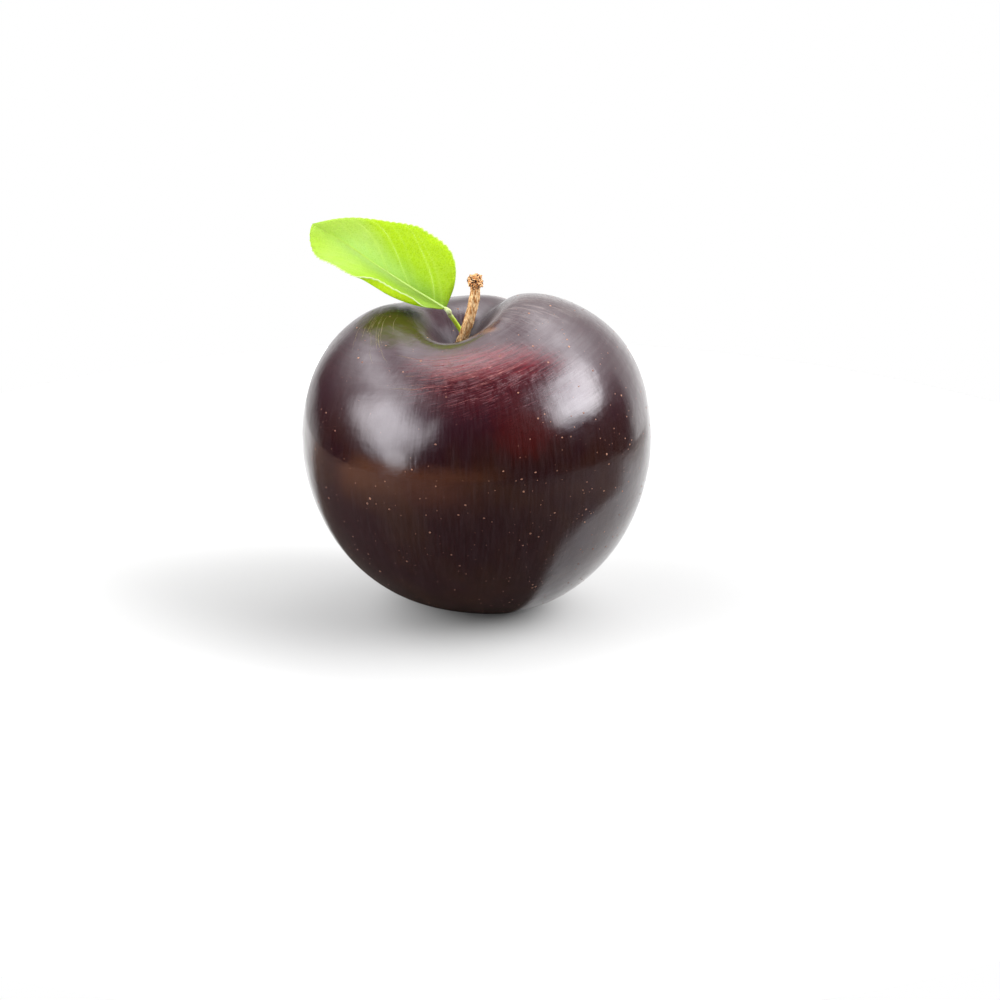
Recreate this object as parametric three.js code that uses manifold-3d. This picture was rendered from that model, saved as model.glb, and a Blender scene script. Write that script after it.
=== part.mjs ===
// A ripe plum with its woody stalk and one leaf on a short stem.
// Millimetres, +Z up. The origin is the centre of the small flat spot that the plum rests on,
// the front is towards -Y, and the leaf reaches up to the left (-X) and back (+Y).

import * as THREE from "three";
import { mergeVertices } from "three/addons/utils/BufferGeometryUtils.js";
import Module from "manifold-3d";

const { smoothstep, lerp, clamp, degToRad } = THREE.MathUtils;
const manifold = await Module();
manifold.setup();

// ---------------------------------------------------------------- driving dimensions

const BODY = {
  radius: 32.3,        // half the width at the widest level
  crownRise: 25.3,     // from the widest level up to the shoulders, before the cavity sinks them
  baseDrop: 34.3,      // from the widest level down to the lowest point
  crownPower: 2.42,    // 2 is an ellipse, and more is squarer
  basePower: 2.06,
  leanDegrees: -2.2,   // about Y, so the top leans left
  leftShoulderIn: 0.022,
};

const CAVITY = {
  x: -2.6,
  y: -0.6,
  bowlDepth: 2.6,
  bowlReach: 13.5,
  pitDepth: 7.2,
  pitReach: 7.2,
  saddleRise: 1.7,     // the rim is higher at the left and right than at the front and back
  ridgeRise: 0.6,
  ridgeAzimuth: degToRad(115),
  rimRadius: 14,
};

// Two soft lips narrow the cavity, at the front right and at the left.
const LIPS = [
  { rise: 1.6, reach: 8, azimuth: degToRad(-45), power: 3 },
  { rise: 1.6, reach: 6.3, azimuth: degToRad(172), power: 3 },
];

// The suture is the shallow groove that runs from the cavity down one side to the tip.
const SUTURE = {
  azimuth: degToRad(62),
  halfWidth: 3.2,
  depthAtRim: 2.4,
  depthAtSide: 0.4,
  depthAtTip: 0.7,
};

const REST = {
  x: 0,                // where the flat spot's centre lies, seen from the middle of the plum
  y: 0.45,
  drop: 34.28,
  flat: 0.35,          // how much of the underside the flat spot takes off
};

const SOCKET_GAP = 0.3;
const SOCKET_BELOW = 0.6;

const STALK = {
  radius: 0.92,
  footFlare: 0.3,
  knobFlare: 0.36,     // the corky scar at the top, where the stalk left its twig
  knobStart: 0.8,
  ridge: 0.07,         // lengthwise ridges, as a share of the radius
  ridgeCount: 7,
  knobBump: 0.12,
};

const LEAF = {
  halfWidth: 10.6,
  thickness: 0.6,
  stemRadius: 0.42,
  ribRadius: 0.46,
  ribTipRadius: 0.3,
  teeth: 26,
  toothShare: 0.03,    // depth of a tooth, as a share of the blade's half width
  foldDegrees: 52,     // how far the front half folds up along the midrib, near the base
  foldAtTipDegrees: 17,
  curlDegrees: 112,    // how far the front edge then rolls over
  archDegrees: 24,     // how the back half starts, before it bends away towards its edge
  archBendDegrees: 36,
  frontSwell: 0.15,    // how much wider the front half is where its curl ends, as a share
};

// Centre lines, from the foot up, measured from the middle of the plum's widest level.
const STALK_LINE = [
  [-4.3, -0.65, 12.4], [-3.3, -0.6, 15.3], [-2.35, -0.5, 18.3], [-1.15, -0.3, 21.8],
  [-0.2, 0.0, 25.7], [-0.02, 0.2, 28.1], [-0.22, 0.4, 30.1],
];
const LEAF_LINE = [
  [-1.75, 1.8, 14.0], [-1.85, 1.9, 16.2], [-2.55, 2.4, 18.3], [-3.55, 2.1, 20.2],
  [-4.75, 1.4, 22.2], [-5.65, 0.8, 23.6], [-12.4, 6.8, 26.1], [-18.6, 12.0, 28.7],
  [-24.9, 16.4, 31.9], [-30.7, 19.0, 34.6],
];
const BLADE_START = 5 / 9;                   // the share of the leaf's line that is bare stem
const BLADE_FACES = new THREE.Vector3(0, -0.94, 0.342);   // the way its upper side looks

// ---------------------------------------------------------------- tools for solids

/** Moves a point from the plum's own middle to the frame of the rest spot. */
function toRestFrame(point) {
  point.x -= REST.x;
  point.y -= REST.y;
  point.z += REST.drop - REST.flat;
  return point;
}

function curveThrough(points) {
  const places = points.map((point) => toRestFrame(new THREE.Vector3(...point)));
  return new THREE.CatmullRomCurve3(places, false, "catmullrom", 0.5);
}

/** Merges a primitive's shared corners and then moves each corner with place(corner). */
function reshape(primitive, place) {
  primitive.deleteAttribute("normal");
  primitive.deleteAttribute("uv");
  const geometry = mergeVertices(primitive, 1e-5);
  const corners = geometry.getAttribute("position");
  const corner = new THREE.Vector3();
  for (let i = 0; i < corners.count; i += 1) {
    place(corner.fromBufferAttribute(corners, i));
    corners.setXYZ(i, corner.x, corner.y, corner.z);
  }
  return geometry;
}

function toSolid(geometry) {
  const mesh = new manifold.Mesh({
    numProp: 3,
    vertProperties: new Float32Array(geometry.getAttribute("position").array),
    triVerts: new Uint32Array(geometry.getIndex().array),
  });
  return new manifold.Manifold(mesh);
}

function toGeometry(solid) {
  const mesh = solid.getMesh();
  const geometry = new THREE.BufferGeometry();
  geometry.setAttribute("position", new THREE.BufferAttribute(mesh.vertProperties, 3));
  geometry.setIndex(new THREE.BufferAttribute(mesh.triVerts, 1));
  geometry.computeVertexNormals();
  return geometry;
}

/**
 * A closed round bar along a curve. radiusAt(share, angle) gives its radius, and share runs
 * from 0 at the foot to 1 at the top.
 */
function bar(curve, radiusAt, sides, steps) {
  const along = new THREE.Vector3();
  const sideways = new THREE.Vector3();
  const outward = new THREE.Vector3();
  const reference = new THREE.Vector3(0, 1, 0);
  const cylinder = new THREE.CylinderGeometry(1, 1, 1, sides, steps);
  return reshape(cylinder, (corner) => {
    const share = clamp(corner.y + 0.5, 0, 1);
    const angle = Math.atan2(corner.z, corner.x);
    const reach = Math.hypot(corner.x, corner.z) * radiusAt(share, angle);
    along.copy(curve.getTangent(share));
    sideways.crossVectors(reference, along).normalize();
    outward.crossVectors(sideways, along).normalize();
    corner.copy(curve.getPoint(share));
    corner.addScaledVector(sideways, reach * Math.cos(angle));
    corner.addScaledVector(outward, reach * Math.sin(angle));
  });
}

// ---------------------------------------------------------------- fruit

/** How far out the plain body is in one direction, before its cavity and groove. */
function bodyReach(across, along, azimuth) {
  const rise = along > 0 ? BODY.crownRise : BODY.baseDrop;
  const power = lerp(BODY.basePower, BODY.crownPower, smoothstep(along, -0.3, 0.6));
  const reach = ((across / BODY.radius) ** power + (Math.abs(along) / rise) ** power) ** (-1 / power);
  const flatCheeks = 0.012 * Math.cos(2 * (azimuth - SUTURE.azimuth - Math.PI / 2));
  const uneven = 0.006 * Math.cos(3 * azimuth + 1.1) * across + 0.005 * Math.sin(2 * azimuth + 0.6) * along;
  const left = smoothstep(-Math.cos(azimuth), -0.2, 0.9);
  const shoulder = BODY.leftShoulderIn * smoothstep(along, -0.1, 0.7) * left;
  return reach * (1 + flatCheeks + uneven - shoulder);
}

/** How much one lip raises the skin, at a distance and azimuth about the cavity. */
function lipRise(lip, distance, azimuth) {
  const out = (distance / lip.reach) ** 2;
  const side = 0.5 + 0.5 * Math.cos(azimuth - lip.azimuth);
  return lip.rise * out * Math.exp(1 - out) * side ** lip.power;
}

/** How much the cavity round the stalk and its rim lower (or raise) the top. */
function cavityDrop(distance, azimuth) {
  const bowl = CAVITY.bowlDepth * Math.exp(-((distance / CAVITY.bowlReach) ** 2));
  const pit = CAVITY.pitDepth * Math.exp(-((distance / CAVITY.pitReach) ** 2));
  const rim = (distance / CAVITY.rimRadius) ** 2;
  const onRim = rim * Math.exp(1 - rim);
  const saddle = CAVITY.saddleRise * Math.cos(2 * azimuth);
  const ridge = CAVITY.ridgeRise * Math.cos(azimuth - CAVITY.ridgeAzimuth);
  const lips = LIPS.reduce((sum, lip) => sum + lipRise(lip, distance, azimuth), 0);
  return bowl + pit - (saddle + ridge) * onRim - lips;
}

/** How deep the suture is, at a distance and azimuth about the cavity. */
function sutureDepth(distance, azimuth, along, top) {
  const turn = azimuth - SUTURE.azimuth;
  if (Math.cos(turn) <= 0) {
    return 0;
  }
  const aside = distance * Math.sin(turn);
  const rim = Math.exp(-(((distance - 13) / 9) ** 2)) * top;
  const opening = smoothstep(distance, 1, 7);
  const belowRest = smoothstep(distance, 6, 12);    // the groove ends before the rest spot
  const tip = smoothstep(-along, 0.6, 0.95) * belowRest * Math.exp(-(((distance - 10) / 7) ** 2));
  const depth = lerp(SUTURE.depthAtSide, SUTURE.depthAtRim, rim) * opening + SUTURE.depthAtTip * tip;
  return depth * Math.exp(-((aside / SUTURE.halfWidth) ** 2));
}

/** The skin's point in the direction given by an angle from the top and an azimuth. */
function skinPoint(polar, azimuth) {
  const across = Math.sin(polar);
  const along = Math.cos(polar);
  const reach = bodyReach(across, along, azimuth);
  const point = new THREE.Vector3(across * Math.cos(azimuth), across * Math.sin(azimuth), along);
  point.multiplyScalar(reach);
  point.z = reach * along;
  const top = smoothstep(along, 0, 0.45);
  const distance = Math.hypot(point.x - CAVITY.x, point.y - CAVITY.y);
  const about = Math.atan2(point.y - CAVITY.y, point.x - CAVITY.x);
  point.z -= top * cavityDrop(distance, about);
  const outward = new THREE.Vector3(
    point.x / BODY.radius ** 2,
    point.y / BODY.radius ** 2,
    point.z / BODY.crownRise ** 2,
  ).normalize();
  point.addScaledVector(outward, -sutureDepth(distance, about, along, top));
  point.applyAxisAngle(new THREE.Vector3(0, 1, 0), degToRad(BODY.leanDegrees));
  return toRestFrame(point);
}

function fruitBody() {
  const sphere = new THREE.SphereGeometry(1, 64, 46).rotateX(Math.PI / 2);
  return reshape(sphere, (corner) => {
    const share = Math.acos(clamp(corner.z, -1, 1)) / Math.PI;
    const polar = Math.PI * share ** 1.2;    // rows lie closer together in the cavity
    corner.copy(skinPoint(polar, Math.atan2(corner.y, corner.x)));
  });
}

/** The hole that a stem's foot stands in, a little wider and deeper than the foot. */
function socket(line, radius) {
  const foot = new THREE.Vector3(...line[0]);
  const mouth = new THREE.Vector3(...line[1]);
  const down = foot.clone().sub(mouth).normalize();
  const ends = [
    foot.clone().addScaledVector(down, SOCKET_BELOW),
    mouth.clone().addScaledVector(down, -3),
  ];
  const curve = curveThrough(ends.map((end) => end.toArray()));
  return toSolid(bar(curve, () => radius + SOCKET_GAP, 20, 1));
}

function fruit() {
  const under = new THREE.BoxGeometry(60, 60, 10).translate(0, 0, -5);
  const cut = toSolid(reshape(under, () => {}));
  const solid = toSolid(fruitBody())
    .subtract(cut)
    .subtract(socket(STALK_LINE, STALK.radius + STALK.footFlare))
    .subtract(socket(LEAF_LINE, LEAF.stemRadius));
  return toGeometry(solid);
}

// ---------------------------------------------------------------- stalk

function stalk() {
  const curve = curveThrough(STALK_LINE);
  const radiusAt = (share, angle) => {
    const foot = STALK.footFlare * (1 - smoothstep(share, 0.14, 0.36));
    const knob = smoothstep(share, STALK.knobStart, STALK.knobStart + 0.04);
    const shut = 1 - 0.35 * smoothstep(share, 0.96, 1);
    const ridge = STALK.ridge * Math.cos(STALK.ridgeCount * angle + 5 * share) * (1 - knob);
    const bump = STALK.knobBump * Math.cos(5 * angle + 40 * share) * knob;
    return (STALK.radius * (1 + ridge + bump) + foot + STALK.knobFlare * knob) * shut;
  };
  return bar(curve, radiusAt, 28, 34);
}

// ---------------------------------------------------------------- leaf

/** Half the blade's width at a share of its length, on the back (1) or front (-1) side. */
function bladeHalfWidth(share, side) {
  const base = (1 - (1 - Math.min(share / 0.25, 1)) ** 2.6) ** 0.75;
  const run = clamp((share - 0.38) / 0.62, 0, 1);
  const tip = side > 0 ? (1 - run ** 1.25) ** 0.92 : (1 - run ** 1.75) ** 0.82;
  const swell = side > 0 ? 0 : LEAF.frontSwell * Math.exp(-(((share - 0.52) / 0.09) ** 2));
  return LEAF.halfWidth * base * tip * (1 + swell);
}

/** The tilt of the blade, across it from the midrib (0) to its edge (1), in radians. */
function bladeTilt(share, out, side) {
  if (side > 0) {
    return degToRad(LEAF.archDegrees - LEAF.archBendDegrees * out);
  }
  const fold = LEAF.foldDegrees * (1 - smoothstep(share, 0.48, 1)) + LEAF.foldAtTipDegrees;
  const roll = smoothstep(share, 0.02, 0.12) * (1 - smoothstep(share, 0.2, 0.42));
  const curl = LEAF.curlDegrees * smoothstep(out, 0.8, 0.92) * roll;
  return degToRad(fold * (0.45 + 0.55 * smoothstep(out, 0, 0.22)) + curl);
}

/** How far the blade's cross lines lean towards the tip, in radians. */
function bladeSweep(share, side) {
  return side > 0
    ? degToRad(-2) * (1 - smoothstep(share, 0, 0.3))
    : degToRad(22) * smoothstep(share, 0.6, 1);
}

/** A point of the blade's middle layer: across is -1 at the front edge and 1 at the back. */
function bladePoint(spine, share, across) {
  const at = BLADE_START + (1 - BLADE_START) * share;
  const side = across < 0 ? -1 : 1;
  const along = spine.getTangent(at);
  const sideways = new THREE.Vector3().crossVectors(along, BLADE_FACES).normalize();
  const up = new THREE.Vector3().crossVectors(sideways, along);
  const point = spine.getPoint(at);
  const sweep = bladeSweep(share, side);
  const steps = 24;
  const stride = (bladeHalfWidth(share, side) * Math.abs(across)) / steps;
  for (let i = 0; i < steps; i += 1) {
    const out = ((i + 0.5) / steps) * Math.abs(across);
    const tilt = bladeTilt(share, out, side);
    point.addScaledVector(sideways, side * Math.cos(tilt) * Math.cos(sweep) * stride);
    point.addScaledVector(up, Math.sin(tilt) * Math.cos(sweep) * stride);
    point.addScaledVector(along, Math.sin(sweep) * stride);
  }
  return point;
}

/** A thin waved blade: an upper and a lower face split alike, joined round the edge. */
function blade(spine) {
  const rows = LEAF.teeth * 3;
  const columns = [-0.95, -0.91, -0.87, -0.83, -0.78, -0.6, -0.4, -0.2, 0, 0.2, 0.4, 0.6, 0.8];
  const last = columns.length + 1;
  const middle = [];
  for (let row = 0; row <= rows; row += 1) {
    const share = lerp(0.012, 0.985, row / rows);
    const tooth = (1 - (row % 3) / 2) * smoothstep(share, 0.06, 0.12);
    const edge = 1 - LEAF.toothShare * tooth;
    const stops = [-edge, ...columns, edge];
    middle.push(stops.map((across) => bladePoint(spine, share, across)));
  }
  const corners = [];
  for (const half of [0.5, -0.5]) {
    for (let row = 0; row <= rows; row += 1) {
      for (let column = 0; column <= last; column += 1) {
        const lengthwise = middle[Math.min(row + 1, rows)][column].clone();
        lengthwise.sub(middle[Math.max(row - 1, 0)][column]);
        const crosswise = middle[row][Math.min(column + 1, last)].clone();
        crosswise.sub(middle[row][Math.max(column - 1, 0)]);
        const upward = new THREE.Vector3().crossVectors(crosswise, lengthwise).normalize();
        const corner = middle[row][column].clone().addScaledVector(upward, half * LEAF.thickness);
        corners.push(corner.x, corner.y, corner.z);
      }
    }
  }
  const at = (row, column) => row * (last + 1) + column;
  const under = at(rows + 1, 0);
  const triangles = [];
  const wall = (a, b) => triangles.push(a, b, under + b, a, under + b, under + a);
  for (let row = 0; row < rows; row += 1) {
    for (let column = 0; column < last; column += 1) {
      const a = at(row, column);
      const b = at(row, column + 1);
      const c = at(row + 1, column + 1);
      const d = at(row + 1, column);
      triangles.push(a, b, c, a, c, d);
      triangles.push(under + a, under + c, under + b, under + a, under + d, under + c);
    }
    wall(at(row, 0), at(row + 1, 0));
    wall(at(row + 1, last), at(row, last));
  }
  for (let column = 0; column < last; column += 1) {
    wall(at(0, column + 1), at(0, column));
    wall(at(rows, column), at(rows, column + 1));
  }
  const geometry = new THREE.BufferGeometry();
  geometry.setAttribute("position", new THREE.Float32BufferAttribute(corners, 3));
  geometry.setIndex(triangles);
  return geometry;
}

function leaf() {
  const spine = curveThrough(LEAF_LINE);
  const radiusAt = (share) => {
    const rib = smoothstep(share, BLADE_START - 0.04, BLADE_START);
    const taper = lerp(LEAF.ribRadius, LEAF.ribTipRadius, smoothstep(share, BLADE_START, 0.97));
    return lerp(LEAF.stemRadius, taper, rib);
  };
  const rib = toSolid(bar(spine, radiusAt, 10, 45));
  return toGeometry(toSolid(blade(spine)).add(rib));
}

// ---------------------------------------------------------------- the plum

function named(name, geometry, color, roughness) {
  const material = new THREE.MeshStandardMaterial({ color, roughness, metalness: 0 });
  const mesh = new THREE.Mesh(geometry, material);
  mesh.name = name;
  return mesh;
}

const plum = new THREE.Group();
plum.add(named("fruit", fruit(), 0x3d1f24, 0.22));
plum.add(named("stalk", stalk(), 0xd49d5d, 0.8));
plum.add(named("leaf", leaf(), 0xbbe656, 0.45));

export default plum;
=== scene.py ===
"""A ripe dark plum with its woody stalk and one young leaf on a short stem.

Sizes are in millimetres and are measured from the middle of the plum's widest level. Meshes are
laid in metres in the frame of the small flat spot that the plum rests on: +Z is up, the front is
towards -Y, and the leaf reaches up to the left (-X) and back (+Y).
"""

import logging
import math
from dataclasses import dataclass, field
from enum import Enum
from typing import Any, Iterator, Mapping, Sequence

import bpy
import numpy as np
from mathutils import Matrix, Vector


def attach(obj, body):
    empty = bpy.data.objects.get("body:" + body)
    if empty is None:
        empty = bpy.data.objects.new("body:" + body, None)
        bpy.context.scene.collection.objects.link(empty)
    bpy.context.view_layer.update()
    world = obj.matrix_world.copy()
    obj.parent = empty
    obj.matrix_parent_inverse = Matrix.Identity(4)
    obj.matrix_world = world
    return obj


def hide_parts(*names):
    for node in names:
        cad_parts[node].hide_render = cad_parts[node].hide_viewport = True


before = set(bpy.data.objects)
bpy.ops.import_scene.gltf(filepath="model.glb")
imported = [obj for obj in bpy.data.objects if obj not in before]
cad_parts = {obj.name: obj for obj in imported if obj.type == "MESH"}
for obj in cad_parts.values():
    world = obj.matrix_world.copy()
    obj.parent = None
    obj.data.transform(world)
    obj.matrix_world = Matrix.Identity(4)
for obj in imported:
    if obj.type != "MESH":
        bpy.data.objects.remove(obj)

log = logging.getLogger("plum")

Array = np.ndarray
Colour = tuple[float, float, float, float]
Face = tuple[int, ...]

MILLIMETRE = 0.001
MIDDLE = (0.0, -0.45, 33.93)          # the middle of the widest level, from the rest spot, in mm
CAVITY = (-2.6, -0.6)                 # the middle of the hollow round the stalk, seen from above
STALK_FOOT = (-3.35, -0.6)            # where the stalk leaves the flesh
PATTERN = 40.0                        # mm of the leaf's flat pattern for one unit of its map
PATTERN_RIB = 12.0                    # how far across that pattern the rib lies, in mm
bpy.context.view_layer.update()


class Slot(Enum):
    """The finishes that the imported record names."""

    SKIN = "fruit_skin"
    BARK = "stalk_bark"
    GREEN = "leaf_green"


class Side(Enum):
    """The two halves of the leaf's blade, and the sign that each has across it."""

    FRONT = -1
    BACK = 1


# ---------------------------------------- plain maths


def smoothstep(value: Array | float, low: float, high: float) -> Array:
    """Eases from 0 at low to 1 at high."""
    share = np.clip((np.asarray(value, float) - low) / (high - low), 0.0, 1.0)
    return share * share * (3.0 - 2.0 * share)


def blend(first: Array | float, second: Array | float, share: Array | float) -> Array:
    """Goes from first to second as share goes from 0 to 1."""
    return first + (second - first) * share


def hill(value: Array | float, centre: float, width: float) -> Array:
    """A smooth bump that is 1 at centre and small beyond width."""
    return np.exp(-(((value - centre) / width) ** 2))


def crest(distance: Array, reach: float) -> Array:
    """A smooth ring that is 1 at a distance of reach, and dies away inwards and outwards."""
    out = (distance / reach) ** 2
    return out * np.exp(1 - out)


def unit(vectors: Array) -> Array:
    """Brings vectors in the last axis to length 1."""
    return vectors / (np.linalg.norm(vectors, axis=-1, keepdims=True) + 1e-12)


def to_metres(points: Array) -> Array:
    """Moves points from the middle of the plum, in mm, to the rest frame, in metres."""
    return (points + np.array(MIDDLE)) * MILLIMETRE


def along_line(points: Sequence[Sequence[float]], share: Array | float) -> Array:
    """Follows a smooth line through points.

    Args:
        points: The places that the line goes through.
        share: How far along it, from 0 to 1, with the same step from each point to the next.

    Returns:
        One place for each share.
    """
    places = np.asarray(points, float)
    spans = len(places) - 1
    run = np.clip(np.asarray(share, float), 0.0, 1.0) * spans
    index = np.minimum(run.astype(int), spans - 1)
    part = (run - index)[..., None]
    ends = np.vstack([2 * places[0] - places[1], places, 2 * places[-1] - places[-2]])
    before, start, end, after = (ends[index + step] for step in range(4))
    leave, reach = 0.5 * (end - before), 0.5 * (after - start)
    cubic = 2 * start - 2 * end + leave + reach
    square = -3 * start + 3 * end - 2 * leave - reach
    return start + leave * part + square * part ** 2 + cubic * part ** 3


def heading(points: Sequence[Sequence[float]], share: Array | float) -> Array:
    """The unit direction of a smooth line at each share of it."""
    here, step = np.asarray(share), 1e-4
    return unit(along_line(points, here + step) - along_line(points, here - step))


# ---------------------------------------- nodes


class Wire:
    """One output of a node, on which arithmetic adds Math nodes."""

    def __init__(self, wiring: "Wiring", socket: bpy.types.NodeSocket) -> None:
        """Keeps the socket and the tree that it is in."""
        self.wiring = wiring
        self.socket = socket

    def other(self, key: str | int) -> "Wire":
        """Another output of the same node."""
        return Wire(self.wiring, self.socket.node.outputs[key])

    def math(self, operation: str, *operands: "Wire | float") -> "Wire":
        """Adds one Math node that works on the operands."""
        return self.wiring.node("ShaderNodeMath", {"operation": operation}, dict(enumerate(operands)))

    def __add__(self, other: "Wire | float") -> "Wire":
        """This value plus another."""
        return self.math("ADD", self, other)

    __radd__ = __add__

    def __sub__(self, other: "Wire | float") -> "Wire":
        """This value less another."""
        return self.math("SUBTRACT", self, other)

    def __rsub__(self, other: float) -> "Wire":
        """A number less this value."""
        return self.math("SUBTRACT", other, self)

    def __mul__(self, other: "Wire | float") -> "Wire":
        """This value times another."""
        return self.math("MULTIPLY", self, other)

    __rmul__ = __mul__

    def __truediv__(self, other: "Wire | float") -> "Wire":
        """This value over another."""
        return self.math("DIVIDE", self, other)

    def __rtruediv__(self, other: float) -> "Wire":
        """A number over this value."""
        return self.math("DIVIDE", other, self)

    def __pow__(self, power: float) -> "Wire":
        """This value to a power."""
        return self.math("POWER", self, power)

    def __abs__(self) -> "Wire":
        """This value without its sign."""
        return self.math("ABSOLUTE", self)

    def cosine(self) -> "Wire":
        """The cosine of this value."""
        return self.math("COSINE", self)

    def most(self, other: "Wire | float") -> "Wire":
        """The larger of this value and another."""
        return self.math("MAXIMUM", self, other)

    def least(self, other: "Wire | float") -> "Wire":
        """The smaller of this value and another."""
        return self.math("MINIMUM", self, other)

    def bell(self, centre: float, width: float) -> "Wire":
        """A smooth bump that is 1 at centre and small beyond width."""
        away = (self - centre) / width
        return self.math("EXPONENT", away * away * -1.0)

    def ease(self, low: float, high: float, start: float = 0.0, end: float = 1.0) -> "Wire":
        """Goes smoothly from one value to another.

        Args:
            low: Where this value starts the change.
            high: Where it ends the change.
            start: The result up to low.
            end: The result from high on.

        Returns:
            The eased value.
        """
        settings = {"interpolation_type": "SMOOTHSTEP"}
        sockets = {"Value": self, "From Min": low, "From Max": high, "To Min": start, "To Max": end}
        return self.wiring.node("ShaderNodeMapRange", settings, sockets)


class Wiring:
    """Adds nodes to one node tree and joins them."""

    def __init__(self, tree: bpy.types.NodeTree) -> None:
        """Keeps the tree."""
        self.tree = tree

    def node(
        self,
        kind: str,
        settings: Mapping[str, Any] | None = None,
        sockets: Mapping[str | int, Any] | None = None,
        out: str | int = 0,
    ) -> Wire:
        """Adds one node.

        Args:
            kind: The node's type name.
            settings: What is set on the node itself, before its sockets.
            sockets: A wire or a plain value for each input, by its name or number.
            out: The output that is wanted.

        Returns:
            The wire of that output, or of the first input where the node has no outputs.
        """
        made = self.tree.nodes.new(kind)
        for key, value in (settings or {}).items():
            setattr(made, key, value)
        for key, value in (sockets or {}).items():
            self.feed(made.inputs[key], value)
        return Wire(self, made.outputs[out] if made.outputs else made.inputs[0])

    def feed(self, socket: bpy.types.NodeSocket, value: Any) -> None:
        """Gives an input its value.

        Args:
            socket: The input.
            value: A wire, which is linked, or a plain value, which is set.
        """
        if isinstance(value, Wire):
            self.tree.links.new(value.socket, socket)
        else:
            socket.default_value = value

    def tint(self, share: Wire | float, first: Wire | Colour, second: Wire | Colour) -> Wire:
        """Mixes two colours, from all of the first at 0 to all of the second at 1."""
        return self.node("ShaderNodeMix", {"data_type": "RGBA"}, {0: share, 6: first, 7: second}, 2)

    def join(self, x: Wire | float, y: Wire | float, z: Wire | float) -> Wire:
        """Makes a vector of three values."""
        return self.node("ShaderNodeCombineXYZ", None, {0: x, 1: y, 2: z})

    def split(self, vector: Wire) -> tuple[Wire, Wire, Wire]:
        """The three values of a vector."""
        parts = self.node("ShaderNodeSeparateXYZ", None, {0: vector})
        return parts, parts.other(1), parts.other(2)

    def vector(self, operation: str, *operands: Any, out: str | int = 0) -> Wire:
        """Adds one Vector Math node that works on the operands."""
        settings = {"operation": operation}
        return self.node("ShaderNodeVectorMath", settings, dict(enumerate(operands)), out)

    def scaled(self, vector: Wire, factor: Wire | float) -> Wire:
        """A vector times a number."""
        return self.node("ShaderNodeVectorMath", {"operation": "SCALE"}, {0: vector, "Scale": factor})

    def stretched(self, vector: Wire, factors: tuple[float, float, float]) -> Wire:
        """A vector with each of its values times a factor of its own."""
        return self.vector("MULTIPLY", vector, factors)

    def noise(
        self,
        where: Wire,
        scale: float,
        detail: float = 3.0,
        rough: float = 0.55,
        warp: float = 0.0,
    ) -> Wire:
        """Smooth noise, mostly from 0.25 to 0.75.

        Args:
            where: The place.
            scale: How many cells there are for each unit of where.
            detail: How many finer layers it has.
            rough: How strong the finer layers are.
            warp: How far the cells are pulled about.

        Returns:
            The noise there.
        """
        cells = {"Vector": where, "Scale": scale, "Detail": detail, "Roughness": rough}
        return self.node("ShaderNodeTexNoise", None, {**cells, "Distortion": warp})

    def cells(self, where: Wire, scale: float, feature: str = "F1") -> Wire:
        """Distance to the nearest of scattered points, or to the border between their cells."""
        sockets = {"Vector": where, "Scale": scale, "Randomness": 1.0}
        return self.node("ShaderNodeTexVoronoi", {"feature": feature}, sockets)


class Material(Wiring):
    """The node tree of one material."""

    def __init__(self, name: str) -> None:
        """Makes an empty material.

        Args:
            name: The material's name.
        """
        self.material = bpy.data.materials.new(name)
        self.material.use_nodes = True
        super().__init__(self.material.node_tree)
        self.tree.nodes.clear()

    def place(self) -> Wire:
        """Where a point is, in mm from the middle of the plum."""
        here = self.node("ShaderNodeTexCoord", out="Object")
        return self.vector("SUBTRACT", self.scaled(here, 1.0 / MILLIMETRE), MIDDLE)

    def attribute(self, name: str) -> Wire:
        """A value that the mesh carries."""
        return self.node("ShaderNodeAttribute", {"attribute_name": name}, out="Fac")

    def paint(self, ground: Wire | Colour, *coats: tuple[Wire | float, Wire | Colour]) -> Wire:
        """Lays colours over a ground, one over the other.

        Args:
            ground: The first colour.
            *coats: How much each further colour covers, from 0 to 1, and the colour.

        Returns:
            What shows on top.
        """
        for share, colour in coats:
            ground = self.tint(share, ground, colour)
        return ground

    def bump(self, height: Wire, millimetres: float, strength: float = 1.0) -> Wire:
        """A normal that follows a height, which goes up to so many mm."""
        sockets = {"Height": height, "Distance": millimetres * MILLIMETRE, "Strength": strength}
        return self.node("ShaderNodeBump", None, sockets)

    def surface(self, sockets: Mapping[str, Any]) -> Wire:
        """A Principled shader with these sockets."""
        return self.node("ShaderNodeBsdfPrincipled", None, sockets)

    def mixed(self, share: Wire | float, first: Wire, second: Wire) -> Wire:
        """Mixes two shaders."""
        return self.node("ShaderNodeMixShader", None, {0: share, 1: first, 2: second})

    def close(self, shader: Wire) -> bpy.types.Material:
        """Ends the tree in a shader and gives the material."""
        self.node("ShaderNodeOutputMaterial", None, {"Surface": shader})
        return self.material


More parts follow.
